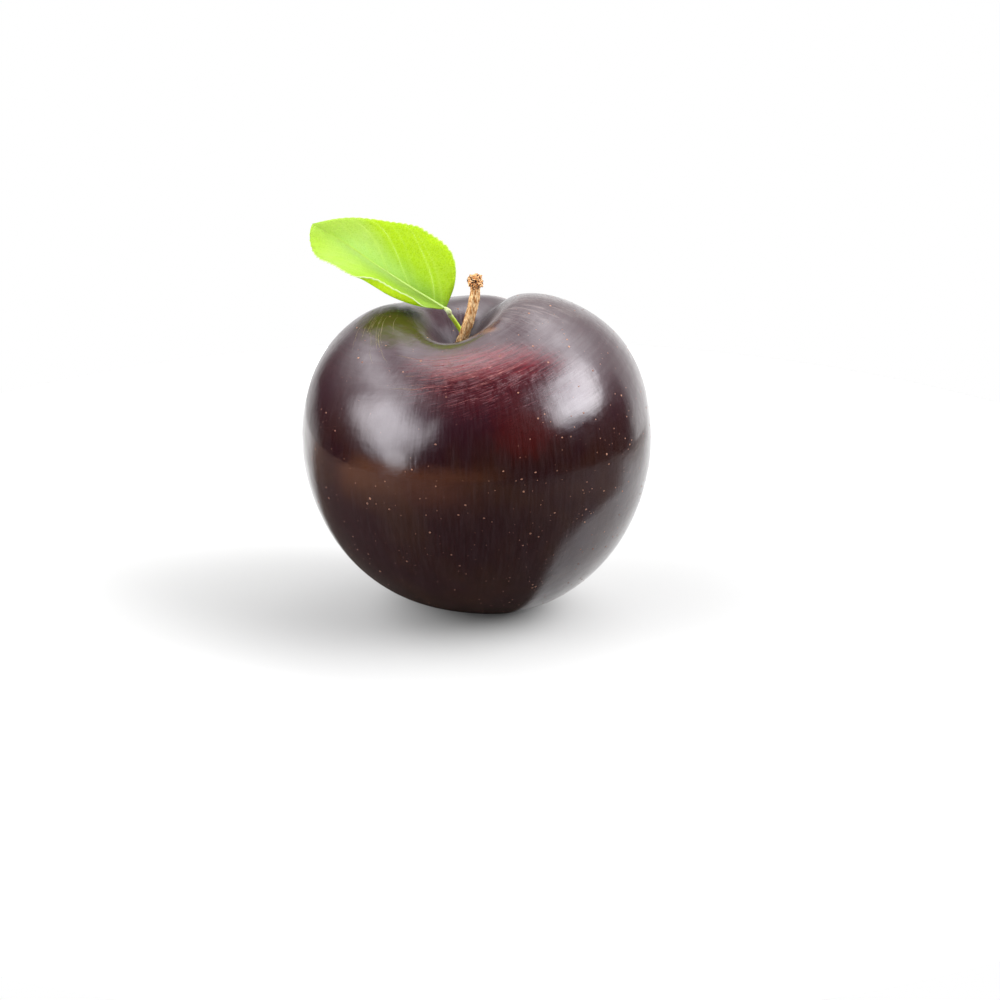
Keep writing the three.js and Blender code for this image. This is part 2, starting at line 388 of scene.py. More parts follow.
class Growth(Wiring):
    """A Geometry Nodes tree with named sizes, whose result becomes a plain mesh."""

    def __init__(self, name: str) -> None:
        """Makes a tree that takes a mesh and gives a mesh.

        Args:
            name: The tree's name.
        """
        super().__init__(bpy.data.node_groups.new(name, "GeometryNodeTree"))
        self.name = name
        self.sockets: dict[str, str] = {}
        self._add_input("Base", "NodeSocketGeometry")
        self.tree.interface.new_socket("Result", in_out="OUTPUT", socket_type="NodeSocketGeometry")
        self.entry = self.node("NodeGroupInput").socket.node

    def _add_input(self, name: str, kind: str) -> None:
        """Adds one named input and keeps its identifier."""
        socket = self.tree.interface.new_socket(name, in_out="INPUT", socket_type=kind)
        self.sockets[name] = socket.identifier

    def base(self) -> Wire:
        """The mesh that the tree is given."""
        return Wire(self, self.entry.outputs["Base"])

    def size(self, name: str, kind: str = "NodeSocketFloat") -> Wire:
        """Adds a named size to the tree's inputs."""
        self._add_input(name, kind)
        return Wire(self, self.entry.outputs[name])

    def carried(self, name: str) -> Wire:
        """A value that the mesh carries."""
        return self.node("GeometryNodeInputNamedAttribute", {"data_type": "FLOAT"}, {"Name": name})

    def random(self, low: Wire | float, high: Wire | float, seed: Wire | int) -> Wire:
        """A random value for each point."""
        sockets = {2: low, 3: high, "Seed": seed}
        return self.node("FunctionNodeRandomValue", {"data_type": "FLOAT"}, sockets, 1)

    def beads(self, points: Wire, turn: Wire, scale: Wire) -> Wire:
        """Puts a small ball of few faces on every point.

        Args:
            points: The points.
            turn: How each ball is turned.
            scale: How large it is along each of its own ways.

        Returns:
            The balls.
        """
        ball = self.node("GeometryNodeMeshIcoSphere", None, {"Radius": 1.0, "Subdivisions": 2})
        sockets = {"Points": points, "Instance": ball, "Rotation": turn, "Scale": scale}
        return self.node("GeometryNodeInstanceOnPoints", None, sockets)

    def circle(self, sides: Wire) -> Wire:
        """The outline of a round tube of radius 1."""
        return self.node("GeometryNodeCurvePrimitiveCircle", None, {"Resolution": sides, "Radius": 1.0})

    def tube(self, outline: Wire) -> Wire:
        """Closed tubes along the lines of the base.

        Args:
            outline: The tube's outline, which the girth that the lines carry makes larger or smaller.

        Returns:
            The tubes.
        """
        rail = self.node("GeometryNodeMeshToCurve", None, {0: self.base()})
        return self.node("GeometryNodeCurveToMesh", None, {
            "Curve": rail,
            "Profile Curve": outline,
            "Scale": self.carried("girth"),
            "Fill Caps": True,
        })

    def close(self, geometry: Wire, material: bpy.types.Material) -> None:
        """Ends the tree: instances are made real and shaded smooth.

        Args:
            geometry: What the tree has made.
            material: What it is made of.
        """
        real = self.node("GeometryNodeRealizeInstances", None, {0: geometry})
        smooth = self.node("GeometryNodeSetShadeSmooth", None, {0: real})
        dressed = self.node("GeometryNodeSetMaterial", None, {"Geometry": smooth, "Material": material})
        self.node("NodeGroupOutput", None, {"Result": dressed})

    def grow(self, name: str, base: bpy.types.Object, sizes: Mapping[str, float]) -> bpy.types.Object:
        """Runs the tree on a base and lays its result down as a new object.

        Args:
            name: The new object's name.
            base: The object that the tree works on. It is removed.
            sizes: A value for each named size.

        Returns:
            An object with a plain mesh.
        """
        modifier = base.modifiers.new(self.name, "NODES")
        modifier.node_group = self.tree
        for key, value in sizes.items():
            modifier[self.sockets[key]] = value
        graph = bpy.context.evaluated_depsgraph_get()
        mesh = bpy.data.meshes.new_from_object(base.evaluated_get(graph))
        base.modifiers.remove(modifier)
        bpy.data.objects.remove(base)
        mesh.name = name
        return place_mesh(mesh)


# ---------------------------------------- meshes


def place_mesh(mesh: bpy.types.Mesh) -> bpy.types.Object:
    """Puts a mesh in the scene, at its origin.

    Args:
        mesh: The mesh.

    Returns:
        An object with the mesh and its name.
    """
    placed = bpy.data.objects.new(mesh.name, mesh)
    bpy.context.collection.objects.link(placed)
    return placed


def lay_mesh(
    name: str,
    corners: Array,
    faces: Sequence[Face] | Array,
    carried: Mapping[str, Array] | None = None,
    edges: Array | None = None,
) -> bpy.types.Object:
    """Makes an object of corners and faces.

    Args:
        name: The object's name.
        corners: Places in metres in the rest frame.
        faces: The corners of each face, anticlockwise seen from outside.
        carried: A value for each corner, by name.
        edges: Pairs of corners, for a mesh of bare lines.

    Returns:
        The object, shaded smooth.
    """
    mesh = bpy.data.meshes.new(name)
    lines = [] if edges is None else np.asarray(edges).tolist()
    plain = faces.tolist() if isinstance(faces, np.ndarray) else list(faces)
    mesh.from_pydata(np.asarray(corners).tolist(), lines, plain)
    for key, values in (carried or {}).items():
        layer = mesh.attributes.new(key, "FLOAT", "POINT")
        layer.data.foreach_set("value", np.ascontiguousarray(values, np.float32).ravel())
    mesh.polygons.foreach_set("use_smooth", [True] * len(mesh.polygons))
    mesh.update()
    return place_mesh(mesh)


def grid_faces(
    rows: int,
    columns: int,
    start: int = 0,
    wrap: bool = False,
    flip: bool = False,
) -> Array:
    """Quads between the corners of a grid, whose rows follow each other in the mesh.

    Args:
        rows: How many rows of corners.
        columns: How many corners in a row.
        start: The number of the grid's first corner.
        wrap: Whether the last column is joined to the first.
        flip: Whether the quads face the other way.

    Returns:
        One row of four corner numbers for each quad.
    """
    width = columns if wrap else columns - 1
    row, column = np.meshgrid(np.arange(rows - 1), np.arange(width), indexing="ij")
    beside = (column + 1) % columns
    quads = np.stack([
        row * columns + column,
        row * columns + beside,
        (row + 1) * columns + beside,
        (row + 1) * columns + column,
    ], -1).reshape(-1, 4) + start
    return quads[:, ::-1] if flip else quads


def lay_lines(
    name: str,
    lines: Sequence[Array],
    carried: Mapping[str, Sequence[Array]],
) -> bpy.types.Object:
    """Makes an object of bare lines, for a tree that grows tubes on them.

    Args:
        name: The object's name.
        lines: The places of each line, in mm from the middle of the plum.
        carried: A value for each place of each line, by name.

    Returns:
        The object.
    """
    starts = np.cumsum([0] + [len(line) for line in lines])
    edges = np.vstack([
        np.stack([np.arange(len(line) - 1), np.arange(1, len(line))], -1) + start
        for line, start in zip(lines, starts)
    ])
    values = {key: np.concatenate(parts) for key, parts in carried.items()}
    return lay_mesh(name, to_metres(np.concatenate(lines)), [], values, edges)


def grow_tubes(
    name: str,
    lines: Sequence[Array],
    girths: Sequence[Array],
    sides: int,
    material: bpy.types.Material,
) -> bpy.types.Object:
    """Grows round tubes on lines.

    Args:
        name: The new object's name.
        lines: The places of each line, in mm from the middle of the plum.
        girths: The radius at each place, in mm.
        sides: How many sides a tube has.
        material: Its material.

    Returns:
        One object with all the tubes.
    """
    tree = Growth(name + "_tubes")
    tree.close(tree.tube(tree.circle(tree.size("Sides", "NodeSocketInt"))), material)
    base = lay_lines(name + "_lines", lines, {"girth": [girth * MILLIMETRE for girth in girths]})
    return tree.grow(name, base, {"Sides": sides})


def dress(piece: bpy.types.Object, slot: Slot, *nodes: str) -> bpy.types.Object:
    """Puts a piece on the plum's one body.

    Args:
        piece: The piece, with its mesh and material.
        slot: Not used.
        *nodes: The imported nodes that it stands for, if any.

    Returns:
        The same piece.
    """
    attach(piece, "root")
    if nodes:
        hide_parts(*nodes)
    triangles = sum(len(face.vertices) - 2 for face in piece.data.polygons)
    log.info("%s: %d triangles", piece.name, triangles)
    return piece


# ---------------------------------------- finishes


@dataclass(frozen=True)
class Patch:
    """A soft patch of the skin, in mm from the middle of the plum."""

    centre: tuple[float, float, float]
    reach: tuple[float, float, float]

    def share(self, ground: "SkinGround") -> Wire:
        """How much of the patch shows at each place, with a ragged edge.

        Args:
            ground: The skin's places and its noise.

        Returns:
            From 0 to 1.
        """
        tree = ground.tree
        apart = tree.vector("SUBTRACT", ground.place, self.centre)
        away = tree.vector("LENGTH", tree.vector("DIVIDE", apart, self.reach), out="Value")
        return 1.0 - (away + (ground.mottle - 0.5) * 0.9).ease(0.35, 1.35)


class SkinGround:
    """What the skin's colours and its relief share: places about the cavity, and noise."""

    def __init__(self, tree: Material) -> None:
        """Adds the nodes for the places and the noise.

        Args:
            tree: The skin's tree.
        """
        self.tree = tree
        self.place = tree.place()
        self.x, self.y, self.z = tree.split(self.place)
        aside, ahead = self.x - CAVITY[0], self.y - CAVITY[1]
        self.distance = (aside * aside + ahead * ahead + 0.01) ** 0.5
        self.polar = self.distance.math("ARCTAN2", self.distance, self.z)
        self.ring = tree.join(aside / self.distance, ahead / self.distance, 0.0)
        slanted = self.polar + self.x * 0.0095
        self.cloud = tree.noise(self.place, 0.07, 3.0, 0.6, 0.4)
        self.mottle = tree.noise(self.place, 0.55, 4.0, 0.65)
        self.haze = tree.noise(self.place, 0.16, 3.0, 0.6)
        self.band = tree.noise(self.about_cavity(1.9, 34.0, slanted), 1.0, 3.0, 0.6, 0.6)
        self.fine_ring = tree.noise(self.about_cavity(3.6, 92.0, slanted), 1.0, 3.0, 0.6, 0.4)
        self.fibre = tree.noise(self.about_cavity(70.0, 6.0), 1.0, 4.0, 0.6, 0.2)
        self.creases = tree.noise(self.about_cavity(24.0, 4.5), 1.0, 4.0, 0.65, 0.6)
        self.crown = self.z.ease(10.0, 18.0)
        self.pit = (1.0 - self.distance.ease(4.5, 10.5)) * self.z.ease(0.0, 8.0)

    def about_cavity(self, across: float, down: float, polar: Wire | None = None) -> Wire:
        """A place for noise that is stretched about the cavity.

        Args:
            across: How many cells there are round the cavity, about.
            down: How many there are in one radian down from it.
            polar: The angle down from the top, where it isn't the plain one.

        Returns:
            The place.
        """
        x, y, _ = self.tree.split(self.tree.stretched(self.ring, (across, across, 0.0)))
        return self.tree.join(x, y, (polar or self.polar) * down)


@dataclass(frozen=True)
class SkinFinish:
    """Thin dark skin: rubbed wax over purple, a red flush, and fine pale rings of cracks."""

    name: str = "plum_skin"
    night: Colour = (0.0120, 0.0020, 0.0032, 1)
    brown: Colour = (0.0180, 0.0052, 0.0028, 1)
    purple: Colour = (0.0270, 0.0040, 0.0100, 1)
    flush: Colour = (0.0420, 0.0050, 0.0080, 1)
    rose: Colour = (0.1350, 0.0140, 0.0210, 1)
    ember: Colour = (0.0500, 0.0040, 0.0034, 1)
    crack: Colour = (0.1500, 0.0360, 0.0420, 1)
    cork: Colour = (0.1900, 0.0800, 0.0350, 1)
    # painted green reflection of the leaf, on the left shoulder under it
    olive: Colour = (0.0450, 0.0470, 0.0060, 1)
    bloom: Colour = (0.0900, 0.0750, 0.0850, 1)
    # part dry bloom, part painted sheen of the creases on the ridge beside the cavity
    dust_and_sheen: Colour = (0.1500, 0.1150, 0.1100, 1)
    sheen: Colour = (0.95, 0.90, 1.0, 1)
    coat_roughness: float = 0.08
    relief_height: float = 0.026                   # mm
    flushed: tuple[tuple[Patch, float], ...] = (
        (Patch((1.6, -22.0, 17.4), (13.5, 11.0, 6.4)), 1.0),
        (Patch((-9.0, 21.0, 15.5), (10.0, 8.0, 6.5)), 0.7),
        (Patch((24.0, 9.0, 14.0), (6.0, 12.0, 6.0)), 0.45),
    )
    rosy: Patch = Patch((1.2, -19.6, 20.1), (14.5, 5.0, 3.2))
    glowing: Patch = Patch((9.0, -29.0, 10.0), (6.2, 8.0, 5.2))
    ridge: Patch = Patch((8.0, -1.5, 23.5), (11.0, 8.0, 6.0))
    leaf_reflection: Patch = Patch((-13.3, -4.4, 22.4), (9.0, 9.5, 3.2))
    hollow: Patch = Patch((-6.4, 6.4, 20.2), (3.4, 3.4, 3.4))
    sliver: Patch = Patch((2.7, -9.8, 22.5), (2.4, 1.1, 0.7))

    def make(self) -> bpy.types.Material:
        """Builds the material, which is glossy but for its hollow and the shoulder patch where the
        leaf's reflection is painted.

        Returns:
            The material.
        """
        tree = Material(self.name)
        ground = SkinGround(tree)
        blush = self._blush(ground)
        cracks, hairs = self._cracks(ground, blush)
        ridge = self.ridge.share(ground)
        # The leaf's green reflection is painted on the left shoulder, and that patch is made matt.
        leaf_reflection = self.leaf_reflection.share(ground) * (0.80 + 0.20 * ground.band.ease(0.36, 0.60))
        colour = self._colour(ground, blush, cracks + hairs, ridge, leaf_reflection)
        normal = tree.bump(self._relief(ground, cracks + hairs, ridge), self.relief_height)
        haze = ground.haze
        wax = 0.62 - haze.ease(0.35, 0.65, 0.0, 0.12)
        wax = wax - ground.band.ease(0.36, 0.64, 0.0, 0.18) * ground.crown
        glossy = tree.surface({
            "Base Color": colour,
            "Roughness": 0.17 + haze.ease(0.35, 0.65, 0.0, 0.06) + cracks * 0.15 + ground.pit * 0.25,
            "IOR": 1.47,
            "Specular Tint": self.sheen,
            "Coat Weight": (wax - cracks * 0.3) * (1.0 - ground.pit * 0.95),
            "Coat Roughness": self.coat_roughness,
            "Coat IOR": 1.45,
            "Normal": normal,
        })
        matt = tree.node("ShaderNodeBsdfDiffuse", None, {"Color": colour, "Normal": normal})
        dull = (leaf_reflection * 0.78).most(self.hollow.share(ground) * 0.70)
        return tree.close(tree.mixed(dull, glossy, matt))

    def _blush(self, ground: SkinGround) -> Wire:
        """How red the skin is, from its flushed patches.

        Args:
            ground: The skin's places and noise.

        Returns:
            The blush, from 0 to 1.
        """
        shares = [patch.share(ground) * strength for patch, strength in self.flushed]
        return shares[0].most(shares[1]).most(shares[2])

    @staticmethod
    def _cracks(ground: SkinGround, blush: Wire) -> tuple[Wire, Wire]:
        """Fine pale cracks round the cavity.

        Args:
            ground: The skin's places and noise.
            blush: How red the skin is, where most of them are.

        Returns:
            How strong the cracks are, and the still finer hairs between them.
        """
        line = 1.0 - abs(ground.band - 0.5).ease(0.004, 0.026)
        hair = 1.0 - abs(ground.fine_ring - 0.5).ease(0.0, 0.045)
        high = ground.z.ease(6.0, 19.0)
        cracks = line * ground.mottle.ease(0.40, 0.56) * (blush + high * 0.14)
        return cracks, hair * ground.mottle.ease(0.38, 0.60) * (blush * 0.50 + high * 0.10)

    def _colour(self, ground: SkinGround, blush: Wire, lines: Wire, ridge: Wire, leaf_reflection: Wire) -> Wire:
        """The skin's colour.

        Args:
            ground: The skin's places and noise.
            blush: How red the skin is.
            lines: How strong the cracks and hairs are.
            ridge: How much a place is on the ridge beside the cavity.
            leaf_reflection: How much of the leaf's painted green reflection shows.

        Returns:
            The colour.
        """
        fine = ground.fine_ring
        return ground.tree.paint(
            self.night,
            (ground.cloud.ease(0.38, 0.64), self.brown),
            (ground.z.ease(0.0, 20.0) * 0.8, self.purple),
            (blush * (0.50 + 0.50 * fine.ease(0.36, 0.62)), self.flush),
            (self.rosy.share(ground) * (0.25 + 0.75 * fine.ease(0.40, 0.58)), self.rose),
            (self.glowing.share(ground) * 0.62, self.ember),
            (ground.fibre.ease(0.35, 0.80, 0.0, 0.10), self.bloom),
            # pale streaks on the ridge beside the cavity: part dry bloom, part painted sheen
            (ridge * ground.creases.ease(0.44, 0.62, 0.10, 0.75), self.dust_and_sheen),
            # painted green reflection of the leaf
            (leaf_reflection, self.olive),
            (lines.least(1.0) * 0.55, self.crack),
            (self._scar(ground), self.cork),
        )

    @staticmethod
    def _relief(ground: SkinGround, lines: Wire, ridge: Wire) -> Wire:
        """The skin's fine relief.

        Args:
            ground: The skin's places and noise.
            lines: How strong the cracks and hairs are.
            ridge: How much a place is on the ridge beside the cavity.

        Returns:
            Its height, as a share of the finish's relief height.
        """
        tree, crown = ground.tree, ground.crown
        grain = tree.noise(ground.place, 6.0, 2.0, 0.6)
        dents = tree.noise(ground.place, 0.30, 2.0, 0.5)
        relief = ground.fibre * 0.78 + ground.band * (0.5 + crown * 0.8)
        relief = relief + ground.fine_ring * (0.25 + crown * 0.45)
        relief = relief + grain * 0.10 + lines * 0.5 + dents * 4.0 + ground.creases * ridge * 5.0
        wrinkles = tree.noise(ground.about_cavity(17.0, 3.0), 1.0, 4.0, 0.6, 0.8)
        return relief + wrinkles * 5.0 * ground.distance.bell(9.0, 6.0) * ground.z.ease(5.0, 14.0)

    def _scar(self, ground: SkinGround) -> Wire:
        """Cork round the foot of the stalk, on the rim of the cavity and where the flower stood.

        Args:
            ground: The skin's places and noise.

        Returns:
            How much of it shows, from 0 to 1.
        """
        x, y, z, ragged = ground.x, ground.y, ground.z, ground.mottle - 0.5
        aside, ahead = x - STALK_FOOT[0], y - STALK_FOOT[1]
        away = (aside * aside + ahead * ahead) ** 0.5 + ragged * 1.5
        top = (1.0 - away.ease(1.3, 2.1)) * z.ease(0.0, 5.0)
        under = (x * x + (y - 1.0) * (y - 1.0)) ** 0.5 + ragged * 2.0
        tip = (1.0 - under.ease(0.8, 1.7)) * (1.0 - z.ease(-32.0, -20.0))
        return (top * 0.7 + tip * 0.9 + self.sliver.share(ground) * 0.6).least(1.0)


@dataclass(frozen=True)
class CorkFinish:
    """Dull pale cork of the breathing spots in the skin, with painted shade on those low on the plum.
    """

    name: str = "lenticel_cork"
    pale: Colour = (0.38, 0.19, 0.12, 1)
    dark: Colour = (0.15, 0.055, 0.038, 1)
    low_shade: Colour = (0.11, 0.050, 0.034, 1)          # painted shade, low on the plum
    roughness: float = 0.62
    relief_height: float = 0.02                    # mm

    def make(self) -> bpy.types.Material:
        """Builds the material.

        Returns:
            The material.
        """
        tree = Material(self.name)
        place = tree.place()
        _, _, z = tree.split(place)
        colour = tree.paint(
            self.dark,
            (tree.noise(place, 0.9, 3.0).ease(0.36, 0.62), self.pale),
            # painted shade on the spots low on the plum
            ((1.0 - z.ease(-12.0, 6.0)) * 0.7, self.low_shade),
        )
        return tree.close(tree.surface({
            "Base Color": colour,
            "Roughness": self.roughness,
            "Normal": tree.bump(tree.noise(place, 14.0, 2.0), self.relief_height),
        }))


@dataclass(frozen=True)
class ScuffFinish:
    """Dry pinkish seams of healed cracks in the skin."""

    name: str = "healed_crack"
    pink: Colour = (0.230, 0.060, 0.064, 1)
    pale: Colour = (0.440, 0.200, 0.190, 1)
    straw: Colour = (0.210, 0.190, 0.080, 1)       # painted green reflection of the leaf, on the left shoulder
    roughness: float = 0.5
    relief_height: float = 0.02                    # mm

    def make(self) -> bpy.types.Material:
        """Builds the material.

        Returns:
            The material.
        """
        tree = Material(self.name)
        place = tree.place()
        x, _, _ = tree.split(place)
        colour = tree.paint(
            self.pink,
            (tree.noise(place, 0.7, 3.0).ease(0.48, 0.68), self.pale),
            # the cracks on the left shoulder take a painted green reflection of the leaf
            ((1.0 - x.ease(-14.0, -9.0)) * 0.85, self.straw),
        )
        return tree.close(tree.surface({
            "Base Color": colour,
            "Roughness": self.roughness,
            "Normal": tree.bump(tree.noise(place, 9.0, 2.0), self.relief_height),
        }))


@dataclass(frozen=True)
class BarkFinish:
    """Young wood of the stalk: tan, in lengthwise strips, with a dark crumbling end."""

    name: str = "stalk_bark"
    tan: Colour = (0.62, 0.270, 0.060, 1)
    pale: Colour = (0.96, 0.70, 0.38, 1)
    dark: Colour = (0.17, 0.052, 0.012, 1)
    knob: Colour = (0.66, 0.290, 0.085, 1)
    pit: Colour = (0.040, 0.012, 0.005, 1)
    fleck: Colour = (1.00, 0.68, 0.36, 1)
    knob_height: float = 27.6
    relief_height: float = 0.17                    # mm

    def make(self) -> bpy.types.Material:
        """Builds the material.

        Returns:
            The material.
        """
        tree = Material(self.name)
        place = tree.place()
        _, _, z = tree.split(place)
        strips = tree.noise(tree.stretched(place, (4.0, 4.0, 0.90)), 1.0, 4.0, 0.65, 0.4)
        flakes = tree.cells(tree.stretched(place, (3.4, 3.4, 1.5)), 1.0)
        crumbs = tree.noise(place, 2.7, 2.0, 0.6)
        bits = tree.noise(place, 3.1, 1.5, 0.5)
        grain = tree.noise(place, 11.0, 3.0, 0.65)
        top = (z + (crumbs - 0.5) * 1.6).ease(self.knob_height - 0.7, self.knob_height + 0.4)
        wood = tree.paint(
            self.tan,
            (strips.ease(0.44, 0.58), self.pale),
            ((1.0 - abs(strips - 0.43).ease(0.0, 0.035)) * 0.9, self.dark),
            (flakes.ease(0.35, 0.60) * 0.30, self.dark),
            (grain.ease(0.56, 0.70) * 0.5, self.dark),
        )
        end = tree.paint(
            self.knob,
            (bits.ease(0.50, 0.54) * 0.9, self.fleck),
            (crumbs.ease(0.53, 0.56), self.pit),
        )
        height = strips * 1.2 + flakes * 0.6 + grain * 0.5 + crumbs * top * 1.5
        return tree.close(tree.surface({
            "Base Color": tree.tint(top, wood, end),
            "Roughness": 0.62 + grain.ease(0.3, 0.7, 0.0, 0.25),
            "Normal": tree.bump(height, self.relief_height, 0.9),
        }))


@dataclass(frozen=True)
class GreenFinish:
    """Young leaf: bright on its upper side, paler beneath, lit through, with a net of veins."""

    name: str = "leaf_green"
    green: Colour = (0.345, 0.555, 0.014, 1)
    lime: Colour = (0.475, 0.690, 0.000, 1)
    pale: Colour = (0.450, 0.590, 0.165, 1)
    satin: Colour = (0.580, 0.755, 0.235, 1)
    tip: Colour = (0.430, 0.640, 0.030, 1)
    midway: Colour = (0.620, 0.880, 0.280, 1)      # along the rib
    base: Colour = (0.290, 0.450, 0.085, 1)
    under: Colour = (0.520, 0.690, 0.000, 1)
    vein: Colour = (0.700, 0.880, 0.150, 1)
    through: Colour = (0.445, 0.705, 0.001, 1)
    rim: Colour = (0.860, 0.920, 0.600, 1)
    lit_through: float = 0.42
    relief_height: float = 0.05                    # mm

    def make(self) -> bpy.types.Material:
        """Builds the material.

        Returns:
            The material.
        """
        tree = Material(self.name)
        flat = tree.node("ShaderNodeUVMap", {"uv_map": "blade"})
        at = tree.stretched(flat, (PATTERN, PATTERN, 0.0))
        net = 1.0 - tree.cells(at, 1.15, "DISTANCE_TO_EDGE").ease(0.02, 0.16)
        mesh = 1.0 - tree.cells(at, 2.3, "DISTANCE_TO_EDGE").ease(0.02, 0.26)
        cloud = tree.noise(at, 0.22, 3.0, 0.55)
        pores = tree.noise(at, 9.0, 2.0, 0.6)
        beneath = tree.attribute("beneath")
        height = net * -0.5 + mesh * -0.3 + pores * 0.25 + cloud * 2.0
        normal = tree.bump(height, self.relief_height)
        face = tree.surface({
            "Base Color": self._colour(tree, flat, beneath, cloud, net, mesh),
            "Roughness": 0.44 + pores.ease(0.3, 0.7, -0.05, 0.08) + beneath * 0.15,
            "IOR": 1.43,
            "Specular IOR Level": 0.07,
            "Normal": normal,
        })
        lit = tree.node("ShaderNodeBsdfTranslucent", None, {"Color": self.through, "Normal": normal})
        return tree.close(tree.mixed(self.lit_through, face, lit))

    def _colour(
        self,
        tree: Material,
        flat: Wire,
        beneath: Wire,
        cloud: Wire,
        net: Wire,
        mesh: Wire,
    ) -> Wire:
        """The blade's colour on both sides.

        Args:
            tree: The blade's tree.
            flat: Its flat pattern, where 1 is the pattern's width.
            beneath: 1 on its lower side and 0 on its upper one.
            cloud: Broad noise.
            net: The lines of its wider net of veins.
            mesh: The lines of its finer net.

        Returns:
            The colour.
        """
        lengthwise, crosswise, _ = tree.split(flat)
        behind = crosswise - PATTERN_RIB / PATTERN
        vein, edge = tree.attribute("vein"), tree.attribute("edge")
        near_stem = 1.0 - (lengthwise + abs(behind) * 0.8).ease(0.06, 0.46)
        sunlit = (behind - lengthwise * 0.18 + (cloud - 0.5) * 0.06).ease(-0.02, 0.07)
        sheen = lengthwise.ease(0.22, 0.52) * (1.0 - sunlit) * lengthwise.ease(0.70, 1.0, 1.0, 0.35)
        # the painted sheen is paler on the back half, which also lifts the shade of the fold beside the
        # rib
        dull = tree.tint((behind + 0.01).ease(-0.025, 0.02), self.pale, self.satin)
        beside_rib = behind.bell(0.006, 0.052) * lengthwise.ease(0.04, 0.34)
        middle = behind.bell(0.0, 0.008) * lengthwise.ease(0.50, 0.92, 0.80, 0.0)
        lines = (net * 0.10 + mesh * 0.10) * (1.0 - edge)
        return tree.paint(
            self.green,
            (sunlit, self.lime),
            (sheen * (0.55 + cloud.ease(0.35, 0.65) * 0.3), dull),
            (near_stem * (1.0 - sunlit * 0.75) * 0.85, self.base),
            (beneath * 0.9, self.under),
            (beside_rib * (1.0 - beneath) * 0.85, self.midway),
            (lengthwise.ease(0.50, 0.76) * 0.62, self.tip),
            ((1.0 - mesh) * (0.25 + sunlit * 0.45), self.green),
            ((lines + vein * 0.55).most(middle).least(1.0), self.vein),
            (edge, self.rim),
        )


@dataclass(frozen=True)
class VeinFinish:
    """Pale ribs of the leaf and its stem."""

    name: str = "leaf_vein"
    pale: Colour = (0.540, 0.740, 0.150, 1)
    green: Colour = (0.500, 0.720, 0.030, 1)
    blush: Colour = (0.360, 0.340, 0.050, 1)
    joint: Colour = (0.780, 0.860, 0.560, 1)       # where the stem meets the blade
    joint_height: float = 23.4
    roughness: float = 0.45
    relief_height: float = 0.05                    # mm

    def make(self) -> bpy.types.Material:
        """Builds the material.

        Returns:
            The material.
        """
        tree = Material(self.name)
        place = tree.place()
        _, _, z = tree.split(place)
        streak = tree.noise(place, 2.2, 3.0, 0.6)
        fine = tree.noise(place, 9.0, 2.0, 0.6)
        colour = tree.paint(
            self.green,
            (z.ease(21.0, 24.5), self.pale),
            ((1.0 - z.ease(15.0, 18.5)) * 0.25, self.blush),
            (streak.ease(0.45, 0.7) * 0.4, self.pale),
            ((z + streak).bell(self.joint_height, 1.1) * 0.8, self.joint),
        )
        return tree.close(tree.surface({
            "Base Color": colour,
            "Roughness": self.roughness,
            "Normal": tree.bump(streak + fine * 0.6, self.relief_height),
        }))


@dataclass(frozen=True)
class FloorFinish:
    """Plain pale table top; in what the plum mirrors it is bright behind, and painted dark in front
    with painted warm and amber reflections.
    """

    name: str = "pale_floor"
    pale: Colour = (0.54, 0.54, 0.54, 1)
    rim: Colour = (0.64, 0.64, 0.64, 1)
    worn: Colour = (0.50, 0.50, 0.51, 1)
    shaded: Colour = (0.040, 0.026, 0.020, 1)      # painted shade: what the plum mirrors of the table in front of it
    # painted warm reflections that the plum mirrors from the table in front and to the left
    warm: Colour = (0.110, 0.060, 0.036, 1)
    amber: Colour = (0.400, 0.150, 0.050, 1)
    roughness: float = 0.7

    def make(self) -> bpy.types.Material:
        """Builds the material.

        Returns:
            The material.
        """
        tree = Material(self.name)
        place = tree.place()
        x, y, _ = tree.split(place)
        reach = (x * x + y * y + 1.0) ** 0.5
        aside, behind = x / reach, y / reach
        right = aside.most(0.0)
        bright = behind + right * reach.ease(25.0, 90.0, 1.6, 0.25) + aside.least(0.0) * 0.25
        bright = bright.ease(0.16, 0.46) * (1.0 - reach.ease(90.0, 165.0) * right.ease(0.50, 0.95))
        dying = reach.ease(105.0, 162.0) * aside.ease(-0.55, 0.10)
        ruddy = (0.2 - aside).ease(0.0, 0.7) * (0.12 - behind).ease(0.0, 0.35)
        front = tree.paint(
            self.shaded,
            (reach.ease(45.0, 150.0) * (1.0 - dying), self.warm),
            (ruddy * reach.ease(55.0, 130.0), self.amber),
        )
        # in glossy rays only, the table in front is painted dark, warm and amber: painted shade and
        # reflections on the plum
        mirrored = tree.node("ShaderNodeLightPath", out="Is Glossy Ray")
        colour = tree.paint(
            self.pale,
            (reach.ease(85.0, 160.0), self.rim),
            (tree.noise(place, 0.02, 3.0).ease(0.3, 0.7) * 0.02, self.worn),
            (mirrored * (1.0 - bright), front),
        )
        return tree.close(tree.surface({"Base Color": colour, "Roughness": self.roughness}))


# ---------------------------------------- fruit


@dataclass(frozen=True)
class ScuffPatch:
    """A patch of healed cracks: how many, where in degrees, and how they run."""

    count: int
    azimuth: float
    azimuth_spread: float
    polar: float
    polar_spread: float
    slant: float
    lengths: tuple[float, float] = (1.5, 8.0)
    girths: tuple[float, float] = (0.016, 0.040)


@dataclass(frozen=True)
class Lip:
    """A soft lip that narrows the cavity on one side."""

    rise: float
    reach: float              # how far out from the cavity's middle it is highest
    azimuth: float            # degrees about the cavity
    power: float              # how closely it keeps to its side

    def height(self, distance: Array, azimuth: Array) -> Array:
        """How much it raises the skin, at a distance and azimuth about the cavity."""
        side = 0.5 + 0.5 * np.cos(azimuth - math.radians(self.azimuth))
        return self.rise * crest(distance, self.reach) * side ** self.power


